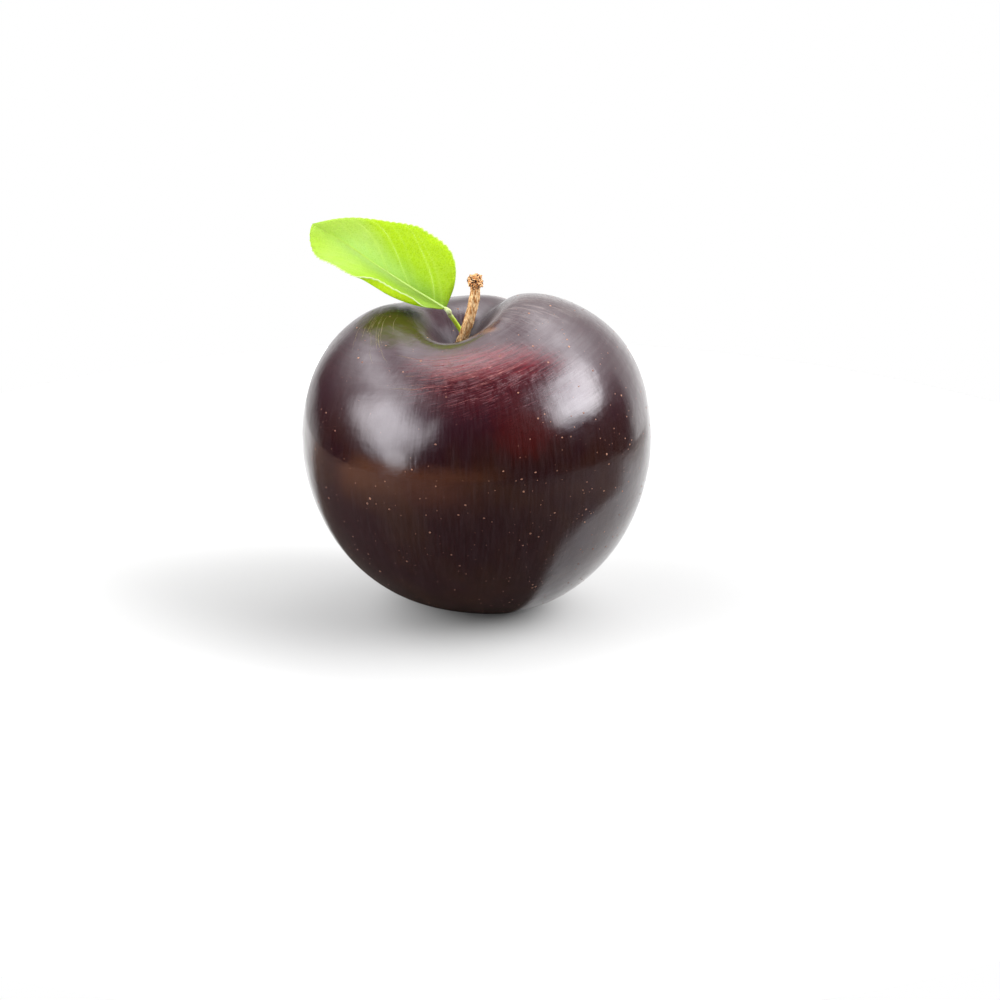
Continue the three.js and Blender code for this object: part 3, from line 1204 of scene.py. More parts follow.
@dataclass
class Fruit:
    """The plum's body: a squarish ball with a cavity round the stalk and a shallow suture."""

    radius: float = 32.3
    crown_rise: float = 25.3
    base_drop: float = 34.3
    crown_power: float = 2.42
    base_power: float = 2.06
    lean: float = math.radians(-2.2)
    left_shoulder_in: float = 0.022                # shares of the reach, as the next two
    cheek_rise: float = 0.012
    unevenness: tuple[float, float] = (0.006, 0.005)        # of the girth and of the height
    bowl_depth: float = 2.6
    bowl_reach: float = 13.5
    pit_depth: float = 7.2
    pit_reach: float = 7.2
    saddle_rise: float = 1.7
    ridge_rise: float = 0.6
    ridge_azimuth: float = math.radians(115)
    rim_radius: float = 14.0
    lips: tuple[Lip, ...] = (Lip(1.6, 8.0, -45.0, 3.0), Lip(1.6, 6.3, 172.0, 3.0))
    suture_azimuth: float = math.radians(62)
    suture_half_width: float = 3.2
    suture_depths: tuple[float, float, float] = (2.4, 0.4, 0.7)     # at the rim, the side and the tip
    collar_rise: float = 0.32
    dimple_depth: float = 0.7
    drawn_in: float = 0.998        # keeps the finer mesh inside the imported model's outline
    columns: int = 360
    rows: int = 262
    crowding: float = 1.2          # how much closer together the rows are at the top
    base_columns: int = 180        # of the coarser skin that the spots are strewn on
    base_rows: int = 130
    spot_density: float = 340000.0                 # at most, for each square metre
    spot_radius: float = 0.19
    spot_gap: float = 0.6
    spot_seed: int = 11
    scuff_sides: int = 6
    scuff_seed: int = 17
    scuff_lift: float = 1.0002     # keeps the healed cracks just clear of the skin
    skin: SkinFinish = field(default_factory=SkinFinish)
    cork: CorkFinish = field(default_factory=CorkFinish)
    scuff: ScuffFinish = field(default_factory=ScuffFinish)
    scuffs: tuple[ScuffPatch, ...] = (
        ScuffPatch(56, -95, 12, 50, 4.0, 0.24),
        ScuffPatch(14, -78, 8, 51, 3.0, 0.26),
        ScuffPatch(16, 104, 18, 50, 6.0, 0.10),
        ScuffPatch(22, 200, 13, 42, 4.0, -0.60, (2.5, 7.0), (0.012, 0.026)),
    )

    def _reach(self, across: Array, along: Array, azimuth: Array) -> Array:
        """How far out the plain body is in one direction.

        Args:
            across: The direction's level part.
            along: Its upward part.
            azimuth: Its angle about the vertical, in radians.

        Returns:
            Distances in mm from the middle of the plum.
        """
        rise = np.where(along > 0, self.crown_rise, self.base_drop)
        power = blend(self.base_power, self.crown_power, smoothstep(along, -0.3, 0.6))
        reach = ((across / self.radius) ** power + (np.abs(along) / rise) ** power) ** (-1 / power)
        cheeks = self.cheek_rise * np.cos(2 * (azimuth - self.suture_azimuth - math.pi / 2))
        girth, height = self.unevenness
        uneven = girth * np.cos(3 * azimuth + 1.1) * across
        uneven = uneven + height * np.sin(2 * azimuth + 0.6) * along
        left = smoothstep(-np.cos(azimuth), -0.2, 0.9)
        inward = self.left_shoulder_in * smoothstep(along, -0.1, 0.7) * left
        return reach * (1 + cheeks + uneven - inward)

    def _cavity_drop(self, distance: Array, azimuth: Array) -> Array:
        """How much the cavity lowers the top, and its rim raises it.

        Args:
            distance: How far each place is from the cavity's middle, in mm.
            azimuth: Its angle about the cavity, in radians.

        Returns:
            The drop, in mm.
        """
        bowl = self.bowl_depth * hill(distance, 0, self.bowl_reach)
        pit = self.pit_depth * hill(distance, 0, self.pit_reach)
        saddle = self.saddle_rise * np.cos(2 * azimuth)
        ridge = self.ridge_rise * np.cos(azimuth - self.ridge_azimuth)
        lips = sum(lip.height(distance, azimuth) for lip in self.lips)
        return bowl + pit - (saddle + ridge) * crest(distance, self.rim_radius) - lips

    def _suture_depth(self, distance: Array, azimuth: Array, along: Array, top: Array) -> Array:
        """How deep the groove down one side is.

        Args:
            distance: How far each place is from the cavity's middle, in mm.
            azimuth: Its angle about the cavity, in radians.
            along: The upward part of its direction.
            top: 1 on the crown and 0 below the widest level.

        Returns:
            The depth, in mm.
        """
        at_rim, at_side, at_tip = self.suture_depths
        turn = azimuth - self.suture_azimuth
        below = smoothstep(-along, 0.6, 0.95) * smoothstep(distance, 6, 12)
        depth = blend(at_side, at_rim, hill(distance, 13, 9) * top) * smoothstep(distance, 1, 7)
        depth = depth + at_tip * below * hill(distance, 10, 7)
        across = hill(distance * np.sin(turn), 0, self.suture_half_width)
        return np.where(np.cos(turn) > 0, depth * across, 0.0)

    def _pucker(self, points: Array) -> Array:
        """The small collar and dimple where the stalk stands.

        Args:
            points: Places on the skin, in mm from the middle of the plum.

        Returns:
            The change of height, in mm.
        """
        away = np.hypot(points[..., 0] - STALK_FOOT[0], points[..., 1] - STALK_FOOT[1])
        collar = self.collar_rise * hill(away, 2.0, 0.55)
        dimple = self.dimple_depth * np.exp(-((away / 1.15) ** 4))
        return (collar - dimple) * smoothstep(points[..., 2], 0, 8)

    def surface(self, polar: Array, azimuth: Array) -> Array:
        """The skin in the direction of an angle from the top and an azimuth.

        Args:
            polar: Angles from straight up, in radians.
            azimuth: Angles about the vertical, in radians.

        Returns:
            Places in mm from the middle of the plum.
        """
        across, along = np.sin(polar), np.cos(polar)
        reach = self._reach(np.maximum(across, 1e-6), along, azimuth)
        points = np.stack([
            reach * across * np.cos(azimuth),
            reach * across * np.sin(azimuth),
            reach * along,
        ], -1)
        top = smoothstep(along, 0, 0.45)
        aside, ahead = points[..., 0] - CAVITY[0], points[..., 1] - CAVITY[1]
        distance, about = np.hypot(aside, ahead), np.arctan2(ahead, aside)
        points[..., 2] -= top * self._cavity_drop(distance, about)
        outward = unit(points / np.array([self.radius ** 2, self.radius ** 2, self.crown_rise ** 2]))
        points -= outward * self._suture_depth(distance, about, along, top)[..., None]
        cosine, sine = math.cos(self.lean), math.sin(self.lean)
        x, z = points[..., 0].copy(), points[..., 2].copy()
        points[..., 0] = x * cosine + z * sine
        points[..., 2] = z * cosine - x * sine
        points[..., 2] += self._pucker(points)
        points[..., 2] = np.maximum(points[..., 2], -MIDDLE[2])
        return points * np.array([self.drawn_in, self.drawn_in, 1.0])

    def _spot_share(self, points: Array) -> Array:
        """How thickly the breathing spots stand: most to the right, few on the flush in front.

        Args:
            points: Places on the skin, in mm from the middle of the plum.

        Returns:
            A share of the greatest density for each place.
        """
        x, y, z = (points / self.radius).T
        from_cavity = np.hypot(points[:, 0] - CAVITY[0], points[:, 1] - CAVITY[1])
        ahead = smoothstep(-y, 0.2, 0.7)
        share = 0.30 + 0.70 * smoothstep(-z, -0.55, 0.25)
        share *= 0.42 + 0.58 * smoothstep(x, -0.1, 0.7)
        share *= smoothstep(points[:, 2], -32.8, -29.0) * smoothstep(from_cavity, 4, 12)
        share *= 1 - 0.75 * ahead * hill(x, 0, 0.45) * hill(z, 0.38, 0.30)
        return share * (1 - 0.25 * ahead * smoothstep(-z, -0.1, 0.3))

    def _lay_skin(self, name: str, rows: int, columns: int) -> bpy.types.Object:
        """The closed skin, as a grid between two poles, with the density of its spots.

        Args:
            name: The object's name.
            rows: How many rows of quads there are from pole to pole.
            columns: How many quads there are round the plum.

        Returns:
            The object.
        """
        share = np.arange(1, rows) / rows
        azimuth = np.arange(columns) * 2 * math.pi / columns
        polar, around = np.meshgrid(math.pi * share ** self.crowding, azimuth, indexing="ij")
        grid = self.surface(polar, around).reshape(-1, 3)
        poles = self.surface(np.array([0.0, math.pi]), np.array([0.0, 0.0]))
        points = np.vstack([grid, poles])
        quads = grid_faces(rows - 1, columns, wrap=True, flip=True)
        top, bottom, last = len(grid), len(grid) + 1, (rows - 2) * columns
        pairs = [(column, (column + 1) % columns) for column in range(columns)]
        caps = [(top, here, beside) for here, beside in pairs]
        caps += [(bottom, last + beside, last + here) for here, beside in pairs]
        carried = {"spots": self._spot_share(points)}
        return lay_mesh(name, to_metres(points), quads.tolist() + caps, carried)

    def _grow_spots(self) -> bpy.types.Object:
        """Scatters low domes of cork over the skin.

        Returns:
            One object with all the spots.
        """
        tree = Growth("breathing_spots")
        density, radius = tree.size("Density"), tree.size("Spot Radius")
        seed, apart = tree.size("Seed", "NodeSocketInt"), tree.size("Least Gap")
        settings = {"distribute_method": "POISSON"}
        points = tree.node("GeometryNodeDistributePointsOnFaces", settings, {
            "Mesh": tree.base(),
            "Distance Min": apart,
            "Density Max": density,
            "Density Factor": tree.carried("spots"),
            "Seed": seed,
        })
        wide = radius * (0.32 + tree.random(0.0, 1.0, 3) ** 3.0 * 0.95)
        scale = tree.join(wide, wide * tree.random(0.6, 1.0, 5), wide * 0.20)
        tree.close(tree.beads(points, points.other("Rotation"), scale), self.cork.make())
        base = self._lay_skin("spots_base", self.base_rows, self.base_columns)
        return tree.grow("fruit_spots", base, {
            "Density": self.spot_density,
            "Spot Radius": self.spot_radius * MILLIMETRE,
            "Seed": self.spot_seed,
            "Least Gap": self.spot_gap * MILLIMETRE,
        })

    def _scuff_lines(self) -> tuple[list[Array], list[Array]]:
        """Healed cracks in the skin, which run mostly round it.

        Returns:
            The places of each crack, and its radius at each place, in mm.
        """
        dice = np.random.default_rng(self.scuff_seed)
        lines, girths = [], []
        for patch in self.scuffs:
            for _ in range(patch.count):
                azimuth = math.radians(dice.normal(patch.azimuth, patch.azimuth_spread))
                polar = math.radians(dice.normal(patch.polar, patch.polar_spread))
                length = dice.uniform(*patch.lengths)
                run = np.linspace(-0.5, 0.5, max(8, int(length * 4)))
                level_radius, steep_radius = 24.0 * math.sin(polar) + 2.0, 28.0
                turn = azimuth + run * length / level_radius
                bend = dice.normal(0, 0.003) * np.sin(run * 7 + dice.uniform(0, 6))
                slant = patch.slant + dice.normal(0, 0.03)
                drop = polar - slant * run * length / steep_radius + bend
                lines.append(self.surface(drop, turn) * self.scuff_lift)
                taper = np.clip(1 - np.abs(run * 2) ** 2.5, 0.08, 1)
                girths.append(dice.uniform(*patch.girths) * taper)
        return lines, girths

    def build(self) -> list[bpy.types.Object]:
        """Makes and dresses the skin, its spots and its healed cracks.

        Returns:
            The pieces.
        """
        skin = self._lay_skin("fruit_skin", self.rows, self.columns)
        skin.data.materials.append(self.skin.make())
        lines, girths = self._scuff_lines()
        scuffs = grow_tubes("fruit_scuffs", lines, girths, self.scuff_sides, self.scuff.make())
        return [
            dress(skin, Slot.SKIN, "fruit"),
            dress(self._grow_spots(), Slot.SKIN),
            dress(scuffs, Slot.SKIN),
        ]


# ---------------------------------------- stalk


@dataclass
class Stalk:
    """The woody stalk: a ridged tube on a bent line that ends in a lump of cork."""

    line: tuple[tuple[float, float, float], ...] = (
        (-4.3, -0.65, 12.4), (-3.3, -0.6, 15.3), (-2.35, -0.5, 18.3), (-1.15, -0.3, 21.8),
        (-0.2, 0.0, 25.7), (-0.02, 0.2, 28.1), (-0.22, 0.4, 30.1),
    )
    radius: float = 0.92
    foot_flare: float = 0.3
    knob_flare: float = 0.30
    knob_start: float = 0.80
    waist_depth: float = 0.05
    cap_start: float = 0.955       # where its end starts to close
    ridge_height: float = 0.07
    strip_height: float = 0.34
    lump_height: float = 1.15
    ridges: int = 7
    sides: int = 72
    steps: int = 240
    flakes: float = 1.1e6                          # at most, for each square metre
    flake_size: float = 0.15
    flake_seed: int = 5
    bark: BarkFinish = field(default_factory=BarkFinish)

    def _girth(self, share: Array) -> Array:
        """The tube's radius along its line.

        Args:
            share: Shares of the line's length, from the foot up.

        Returns:
            The radius at each, in mm.
        """
        foot = self.foot_flare * (1 - smoothstep(share, 0.14, 0.36))
        knob = self.knob_flare * smoothstep(share, self.knob_start, self.knob_start + 0.04)
        waist = self.waist_depth * hill(share, 0.78, 0.06)
        shut = np.sqrt(np.clip(1 - smoothstep(share, self.cap_start, 1.0) ** 2, 0.0, 1.0))
        return (self.radius + foot + knob - waist) * np.maximum(shut, 0.02)

    def _lay_line(self, name: str) -> bpy.types.Object:
        """The middle line, with the girth and the place along it.

        Args:
            name: The object's name.

        Returns:
            An object of one bare line.
        """
        share = np.concatenate([
            np.linspace(0, self.knob_start, self.steps // 2, endpoint=False),
            np.linspace(self.knob_start, self.cap_start, self.steps // 4, endpoint=False),
            1 - (1 - self.cap_start) * np.linspace(1, 0, self.steps // 4) ** 1.6,
        ])
        girth = self._girth(share) * MILLIMETRE
        knob = smoothstep(share, self.knob_start - 0.01, self.knob_start + 0.03)
        carried = {"girth": [girth], "run": [share], "knob": [knob]}
        return lay_lines(name, [along_line(self.line, share)], carried)

    def _relief(self, tree: Growth) -> Wire:
        """Lengthwise ridges and strips of bark, and a lumpy end.

        Args:
            tree: The stalk's tree.

        Returns:
            How far the bark stands out, in metres.
        """
        count, height = tree.size("Ridges"), tree.size("Ridge Height")
        lump, strip = tree.size("Lump Height"), tree.size("Strip Height")
        knob, run, girth = tree.carried("knob"), tree.carried("run"), tree.carried("girth")
        here = tree.scaled(tree.node("GeometryNodeInputPosition"), 1.0 / MILLIMETRE)
        strips = tree.noise(tree.stretched(here, (1.9, 1.9, 0.5)), 1.0, 3.0, 0.6, 0.3)
        crumbs = tree.noise(here, 0.95, 4.0, 0.68, 0.5)
        rings = tree.noise(tree.stretched(here, (0.7, 0.7, 2.4)), 1.0, 2.0, 0.6, 0.4)
        angle = tree.carried("turn") * (2 * math.pi)
        ridge = (angle * count + run * 5.0).cosine() * height * (1.0 - knob) * self.radius
        bark = (strips - 0.5) * strip * (1.0 - knob * 0.5)
        end = ((crumbs - 0.5) * 1.6 + (rings - 0.5)) * lump * knob
        inner = girth.ease(0.0, 0.6 * MILLIMETRE, 0.4, 1.0)
        return (ridge + bark + end) * inner * MILLIMETRE

    def _grow_wood(self, material: bpy.types.Material) -> bpy.types.Object:
        """Grows the tube on its line, with its relief.

        Args:
            material: Its material.

        Returns:
            The wood.
        """
        tree = Growth("woody_stalk")
        outline = tree.node(
            "GeometryNodeStoreNamedAttribute",
            {"data_type": "FLOAT", "domain": "POINT"},
            {
                "Geometry": tree.circle(tree.size("Sides", "NodeSocketInt")),
                "Name": "turn",
                "Value": tree.node("GeometryNodeSplineParameter"),
            },
        )
        offset = tree.scaled(tree.node("GeometryNodeInputNormal"), self._relief(tree))
        sockets = {"Geometry": tree.tube(outline), "Offset": offset}
        tree.close(tree.node("GeometryNodeSetPosition", None, sockets), material)
        return tree.grow("stalk_wood", self._lay_line("stalk_line"), {
            "Sides": self.sides,
            "Ridges": float(self.ridges),
            "Ridge Height": self.ridge_height,
            "Lump Height": self.lump_height,
            "Strip Height": self.strip_height,
        })

    def _grow_flakes(self, wood: bpy.types.Object, material: bpy.types.Material) -> bpy.types.Object:
        """Scatters small scales of cork over the end, and slivers of bark over the rest.

        Args:
            wood: The wood that they lie on.
            material: Their material.

        Returns:
            One object with all the flakes.
        """
        tree = Growth("bark_flakes")
        density, size = tree.size("Density"), tree.size("Flake Size")
        seed, knob = tree.size("Seed", "NodeSocketInt"), tree.carried("knob")
        points = tree.node("GeometryNodeDistributePointsOnFaces", {"distribute_method": "RANDOM"}, {
            "Mesh": tree.base(),
            "Density": density * (0.30 + 0.70 * knob) * tree.carried("run").ease(0.14, 0.2),
            "Seed": seed,
        })
        align = "FunctionNodeAlignRotationToVector"
        upright = tree.node(align, {"axis": "Z"}, {"Vector": points.other("Normal")})
        grain = {"Rotation": upright, "Vector": (0.25, 0.05, 1.0)}
        lengthwise = tree.node(align, {"axis": "X", "pivot_axis": "Z"}, grain)
        wide = size * tree.random(0.4, 1.2, 2)
        long = wide * (1.0 + (1.0 - knob) * tree.random(1.5, 5.0, 8))
        scale = tree.join(long, wide * tree.random(0.5, 1.0, 4), wide * (0.25 + knob * 0.35))
        tree.close(tree.beads(points, lengthwise, scale), material)
        return tree.grow("stalk_flakes", place_mesh(wood.data.copy()), {
            "Density": self.flakes,
            "Flake Size": self.flake_size * MILLIMETRE,
            "Seed": self.flake_seed,
        })

    def build(self) -> list[bpy.types.Object]:
        """Makes and dresses the wood and its flakes.

        Returns:
            The pieces.
        """
        material = self.bark.make()
        wood = self._grow_wood(material)
        flakes = self._grow_flakes(wood, material)
        return [dress(wood, Slot.BARK, "stalk"), dress(flakes, Slot.BARK)]


# ---------------------------------------- leaf


@dataclass
class Leaf:
    """The young leaf: a toothed blade that folds and curls, on its rib, veins and stem."""

    line: tuple[tuple[float, float, float], ...] = (
        (-1.75, 1.8, 14.0), (-1.85, 1.9, 16.2), (-2.55, 2.4, 18.3), (-3.55, 2.1, 20.2),
        (-4.75, 1.4, 22.2), (-5.65, 0.8, 23.6), (-12.4, 6.8, 26.1), (-18.6, 12.0, 28.7),
        (-24.9, 16.4, 31.9), (-30.7, 19.0, 34.6),
    )
    blade_start: float = 5 / 9
    blade_faces: tuple[float, float, float] = (0.0, -0.94, 0.342)
    blade_length: float = 33.5
    half_width: float = 10.6
    thickness: float = 0.30
    edge_thickness: float = 0.14
    stem_radius: float = 0.40
    rib_radius: float = 0.30
    rib_tip_radius: float = 0.07
    teeth: int = 26
    tooth_share: float = 0.032     # depth of a tooth, as a share of the half width
    tooth_seeds: tuple[int, int] = (34, 21)        # for the front and the back edge
    tooth_shift: float = 0.25      # how far the teeth of both sides are out of step, in teeth
    toothed: tuple[float, float] = (0.012, 0.985)  # where they start and end along the blade
    fold: float = 52.0             # degrees, as the next six
    fold_at_tip: float = 17.0
    curl: float = 112.0
    arch: float = 24.0
    arch_bend: float = 36.0
    back_sweep: float = -2.0
    tip_sweep: float = 22.0
    front_swell: float = 0.15      # how much wider the front half is past its curl, as a share
    gland_size: float = 0.085
    gland_seed: int = 9
    vein_lift: float = 0.15        # how far the side veins lie off the middle layer
    upper_vein: float = 0.042      # radius of a side vein of strength 1
    lower_vein: tuple[float, float] = (0.060, 0.05)         # the same, for strength 0, and what 1 adds
    back_veins: tuple[tuple[float, float], ...] = (         # where each starts, and its strength
        (0.03, 0.5), (0.085, 0.85), (0.165, 0.35), (0.235, 0.9), (0.32, 0.3), (0.40, 0.75),
        (0.50, 0.3), (0.60, 0.35), (0.70, 0.25), (0.79, 0.25), (0.87, 0.2),
    )
    front_veins: tuple[tuple[float, float], ...] = (
        (0.05, 0.2), (0.12, 0.25), (0.20, 0.3), (0.28, 0.25), (0.37, 0.3), (0.46, 0.25),
        (0.55, 0.25), (0.64, 0.2), (0.73, 0.2), (0.81, 0.15), (0.89, 0.15),
    )
    rows: int = 262
    end_rows: int = 26             # closer together, at the stem and at the tip
    front_columns: int = 62
    back_columns: int = 46
    rib_sides: int = 20
    vein_sides: int = 8
    green: GreenFinish = field(default_factory=GreenFinish)
    pale: VeinFinish = field(default_factory=VeinFinish)

    def _half_width(self, share: Array, side: Side) -> Array:
        """Half the blade's width on one side.

        Args:
            share: Shares of the blade's length.
            side: The half of the blade.

        Returns:
            The width at each share, in mm.
        """
        base = (1 - (1 - np.minimum(share / 0.25, 1)) ** 2.6) ** 0.75
        run = np.clip((share - 0.38) / 0.62, 0, 1)
        powers = (1.25, 0.92) if side is Side.BACK else (1.75, 0.82)
        swell = self.front_swell * hill(share, 0.52, 0.09) if side is Side.FRONT else 0.0
        return self.half_width * base * np.clip(1 - run ** powers[0], 0, 1) ** powers[1] * (1 + swell)

    def _tilt(self, share: Array, out: Array, side: Side) -> Array:
        """The tilt of the blade between its rib and its edge.

        Args:
            share: Shares of the blade's length.
            out: How far out each place is, from 0 at the rib to 1 at the edge.
            side: The half of the blade.

        Returns:
            The tilt, in radians.
        """
        if side is Side.BACK:
            return np.radians(self.arch - self.arch_bend * out) + 0.0 * share
        fold = self.fold * (1 - smoothstep(share, 0.48, 1)) + self.fold_at_tip
        roll = smoothstep(share, 0.02, 0.12) * (1 - smoothstep(share, 0.2, 0.42))
        curl = self.curl * smoothstep(out, 0.8, 0.92) * roll
        return np.radians(fold * (0.45 + 0.55 * smoothstep(out, 0, 0.22)) + curl)

    def _sweep(self, share: Array, side: Side) -> Array:
        """How far the blade's cross lines lean towards the tip.

        Args:
            share: Shares of the blade's length.
            side: The half of the blade.

        Returns:
            The lean, in radians.
        """
        if side is Side.BACK:
            return np.radians(self.back_sweep) * (1 - smoothstep(share, 0, 0.3))
        return np.radians(self.tip_sweep) * smoothstep(share, 0.6, 1)

    def _frame(self, share: Array) -> tuple[Array, Array, Array, Array]:
        """The rib's place and the blade's directions there.

        Args:
            share: Shares of the blade's length.

        Returns:
            The place, in mm, and the ways along the rib, across it and up from it.
        """
        at = self.blade_start + (1 - self.blade_start) * share
        along = heading(self.line, at)
        sideways = unit(np.cross(along, np.array(self.blade_faces)))
        return along_line(self.line, at), along, sideways, np.cross(sideways, along)

    def middle(self, share: Array, across: Array) -> Array:
        """The blade's middle layer.

        Args:
            share: Shares of the blade's length, from 0 to 1.
            across: From -1 at the front edge to 1 at the back edge.

        Returns:
            Places in mm from the middle of the plum.
        """
        place, along, sideways, up = self._frame(share)
        steps = 32
        moved = np.zeros_like(place)
        for side in Side:
            mine = (across < 0) if side is Side.FRONT else (across >= 0)
            stride = self._half_width(share, side) * np.abs(across) / steps * mine
            sweep = self._sweep(share, side)
            for step in range(steps):
                out = (step + 0.5) / steps * np.abs(across)
                tilt = self._tilt(share, out, side)
                moved += sideways * (side.value * np.cos(tilt) * np.cos(sweep) * stride)[..., None]
                moved += up * (np.sin(tilt) * np.cos(sweep) * stride)[..., None]
                moved += along * (np.sin(sweep) * stride)[..., None]
        return place + moved

    def _edge_share(self, share: Array, side: Side) -> Array:
        """Where the toothed edge lies.

        Args:
            share: Shares of the blade's length.
            side: The half of the blade.

        Returns:
            How far out the edge is, as a share of the blade's half width.
        """
        front_seed, back_seed = self.tooth_seeds
        dice = np.random.default_rng(back_seed if side is Side.BACK else front_seed)
        depth = dice.uniform(0.55, 1.25, self.teeth + 2)
        start, end = self.toothed
        run = np.clip((share - start) / (end - start), 0, 1)
        phase = run * self.teeth + self.tooth_shift * side.value
        tooth = np.floor(phase).astype(int)
        notch = 1 - np.sin(math.pi * (phase - tooth) ** 1.45) ** 0.75
        size = depth[np.clip(tooth, 0, self.teeth + 1)]
        size = size * (0.75 if side is Side.BACK else blend(0.35, 0.8, smoothstep(share, 0.3, 0.6)))
        here = smoothstep(share, 0.05, 0.12) * (1 - smoothstep(share, 0.97, 1.0))
        return 1 - self.tooth_share * notch * size * here

    def _side_veins(self) -> Iterator[tuple[Side, float, float]]:
        """Each side vein: its half of the blade, where on the rib it starts, and its strength."""
        for side, veins in ((Side.FRONT, self.front_veins), (Side.BACK, self.back_veins)):
            yield from ((side, foot, strength) for foot, strength in veins)

    @staticmethod
    def _vein_path(foot: float, side: Side, count: int) -> tuple[Array, Array]:
        """The way of one side vein, which hooks near the stem and runs slanted further on.

        Args:
            foot: Where on the rib it starts, as a share of the blade's length.
            side: The half of the blade.
            count: How many places there are on it.

        Returns:
            The shares along the blade and across it that it goes through.
        """
        late = float(smoothstep(foot, 0.05, 0.24))
        across = np.linspace(0.0, 0.93, count)
        lean, hook = blend(0.03, 0.50, late), blend(0.42, 0.04, late)
        wave = 0.006 * np.sin(9 * across + 20 * foot)
        slant = (lean * across + hook * across ** 2.2) * (0.45 + 0.55 * (1 - foot))
        share = foot + slant + wave * across
        keep = share < 0.985
        return share[keep], across[keep] * side.value

    def _vein_field(self, share: Array, across: Array) -> Array:
        """How near each place of the blade is to a side vein.

        Args:
            share: Shares of the blade's length.
            across: From -1 at the front edge to 1 at the back edge.

        Returns:
            From 0 to the strength of the nearest vein.
        """
        flat = self._flat(share, across)
        near = np.zeros(share.shape)
        for side, foot, strength in self._side_veins():
            path = self._flat(*self._vein_path(foot, side, 40))
            apart = np.full(share.shape, 1e9)
            width = np.ones(share.shape)
            for index, point in enumerate(path):
                gap = ((flat - point) ** 2).sum(-1)
                closer = gap < apart
                apart = np.where(closer, gap, apart)
                width = np.where(closer, 0.30 - 0.16 * index / len(path), width)
            near = np.maximum(near, np.exp(-apart / width ** 2) * strength)
        return near

    def _flat(self, share: Array, across: Array) -> Array:
        """Where a place of the blade is in its flat pattern."""
        front, back = (self._half_width(share, side) for side in (Side.FRONT, Side.BACK))
        return np.stack([share * self.blade_length, across * np.where(across < 0, front, back)], -1)

    def _grid(self) -> tuple[Array, Array, Array]:
        """The grid of the blade's corners, with its toothed edge.

        Returns:
            Each corner's share along the blade, how far out it is, and its share across.
        """
        share = np.concatenate([
            0.05 * np.linspace(0.03, 1, self.end_rows) ** 2,
            np.linspace(0.05, 0.95, self.rows)[1:-1],
            1 - 0.05 * np.linspace(1, 0.03, self.end_rows) ** 2,
        ])
        across = np.concatenate([
            -np.linspace(1, 0, self.front_columns, endpoint=False),
            np.linspace(0, 1, self.back_columns),
        ])
        along, over = np.meshgrid(share, across, indexing="ij")
        front, back = (self._edge_share(along, side) for side in (Side.FRONT, Side.BACK))
        edge = np.where(over < 0, front, back)
        out = np.abs(over)
        return along, out, over * (1 - (1 - edge) * smoothstep(out, 0.82, 1.0))

    def _lay_blade(self, name: str) -> bpy.types.Object:
        """The blade: an upper and a lower face, joined round the toothed edge.

        Args:
            name: The object's name.

        Returns:
            The object, with its flat pattern as a map.
        """
        along, out, over = self._grid()
        flat, vein = self._flat(along, over), self._vein_field(along, over)
        middle = self.middle(along, over)
        upward = unit(np.cross(np.gradient(middle, axis=1), np.gradient(middle, axis=0)))
        rib = hill(flat[..., 1], 0, 0.55)
        puff = np.where(over < 0, 0.025, 0.05) * (1 - np.maximum(vein, rib))
        wave = 0.05 * np.sin(1.7 * flat[..., 1] + along * 24) * out ** 2
        middle = middle + upward * (puff * (1 - smoothstep(out, 0.85, 1.0)) + wave)[..., None]
        thick = blend(self.thickness, self.edge_thickness, smoothstep(out, 0.86, 1.0))[..., None]
        layers = [(middle + upward * thick * half).reshape(-1, 3) for half in (0.5, -0.5)]
        border = smoothstep(out, 0.972, 0.995) * smoothstep(along, 0.02, 0.06)
        carried = {
            "vein": np.tile(vein.ravel(), 2),
            "edge": np.tile(border.ravel(), 2),
            "beneath": np.repeat([0.0, 1.0], along.size),
        }
        corners = to_metres(np.concatenate(layers))
        blade = lay_mesh(name, corners, self._blade_faces(*along.shape), carried)
        self._lay_pattern(blade.data, (flat + (0.0, PATTERN_RIB)) / PATTERN)
        return blade

    @staticmethod
    def _blade_faces(rows: int, columns: int) -> Array:
        """The quads of the blade's two faces, and those that join them round the edge.

        Args:
            rows: How many rows of corners each face has.
            columns: How many corners are in a row.

        Returns:
            One row of four corner numbers for each quad.
        """
        count = rows * columns
        rim = np.concatenate([
            np.arange(columns),
            np.arange(1, rows) * columns + columns - 1,
            (rows - 1) * columns + np.arange(columns - 2, -1, -1),
            np.arange(rows - 2, 0, -1) * columns,
        ])
        beside = np.roll(rim, -1)
        return np.concatenate([
            grid_faces(rows, columns),
            grid_faces(rows, columns, count, flip=True),
            np.stack([rim, rim + count, beside + count, beside], -1),
        ])

    @staticmethod
    def _lay_pattern(mesh: bpy.types.Mesh, flat: Array) -> None:
        """Gives the blade's two faces the same map, of its flat pattern.

        Args:
            mesh: The blade's mesh.
            flat: The place of each corner of one face in the pattern.
        """
        corners = np.empty(len(mesh.loops), np.int32)
        mesh.loops.foreach_get("vertex_index", corners)
        spread = np.tile(flat.reshape(-1, 2), (2, 1))[corners]
        layer = mesh.uv_layers.new(name="blade")
        layer.data.foreach_set("uv", spread.astype(np.float32).ravel())

    def _surface_line(self, share: Array, across: Array, lift: float) -> Array:
        """A line on the blade.

        Args:
            share: Shares of the blade's length.
            across: From -1 at the front edge to 1 at the back edge.
            lift: How far it lies off the middle layer, in mm.

        Returns:
            Its places in mm from the middle of the plum.
        """
        step = 2e-3
        crosswise = self.middle(share, across + step) - self.middle(share, across - step)
        lengthwise = self.middle(share + step, across) - self.middle(share - step, across)
        return self.middle(share, across) + unit(np.cross(crosswise, lengthwise)) * lift

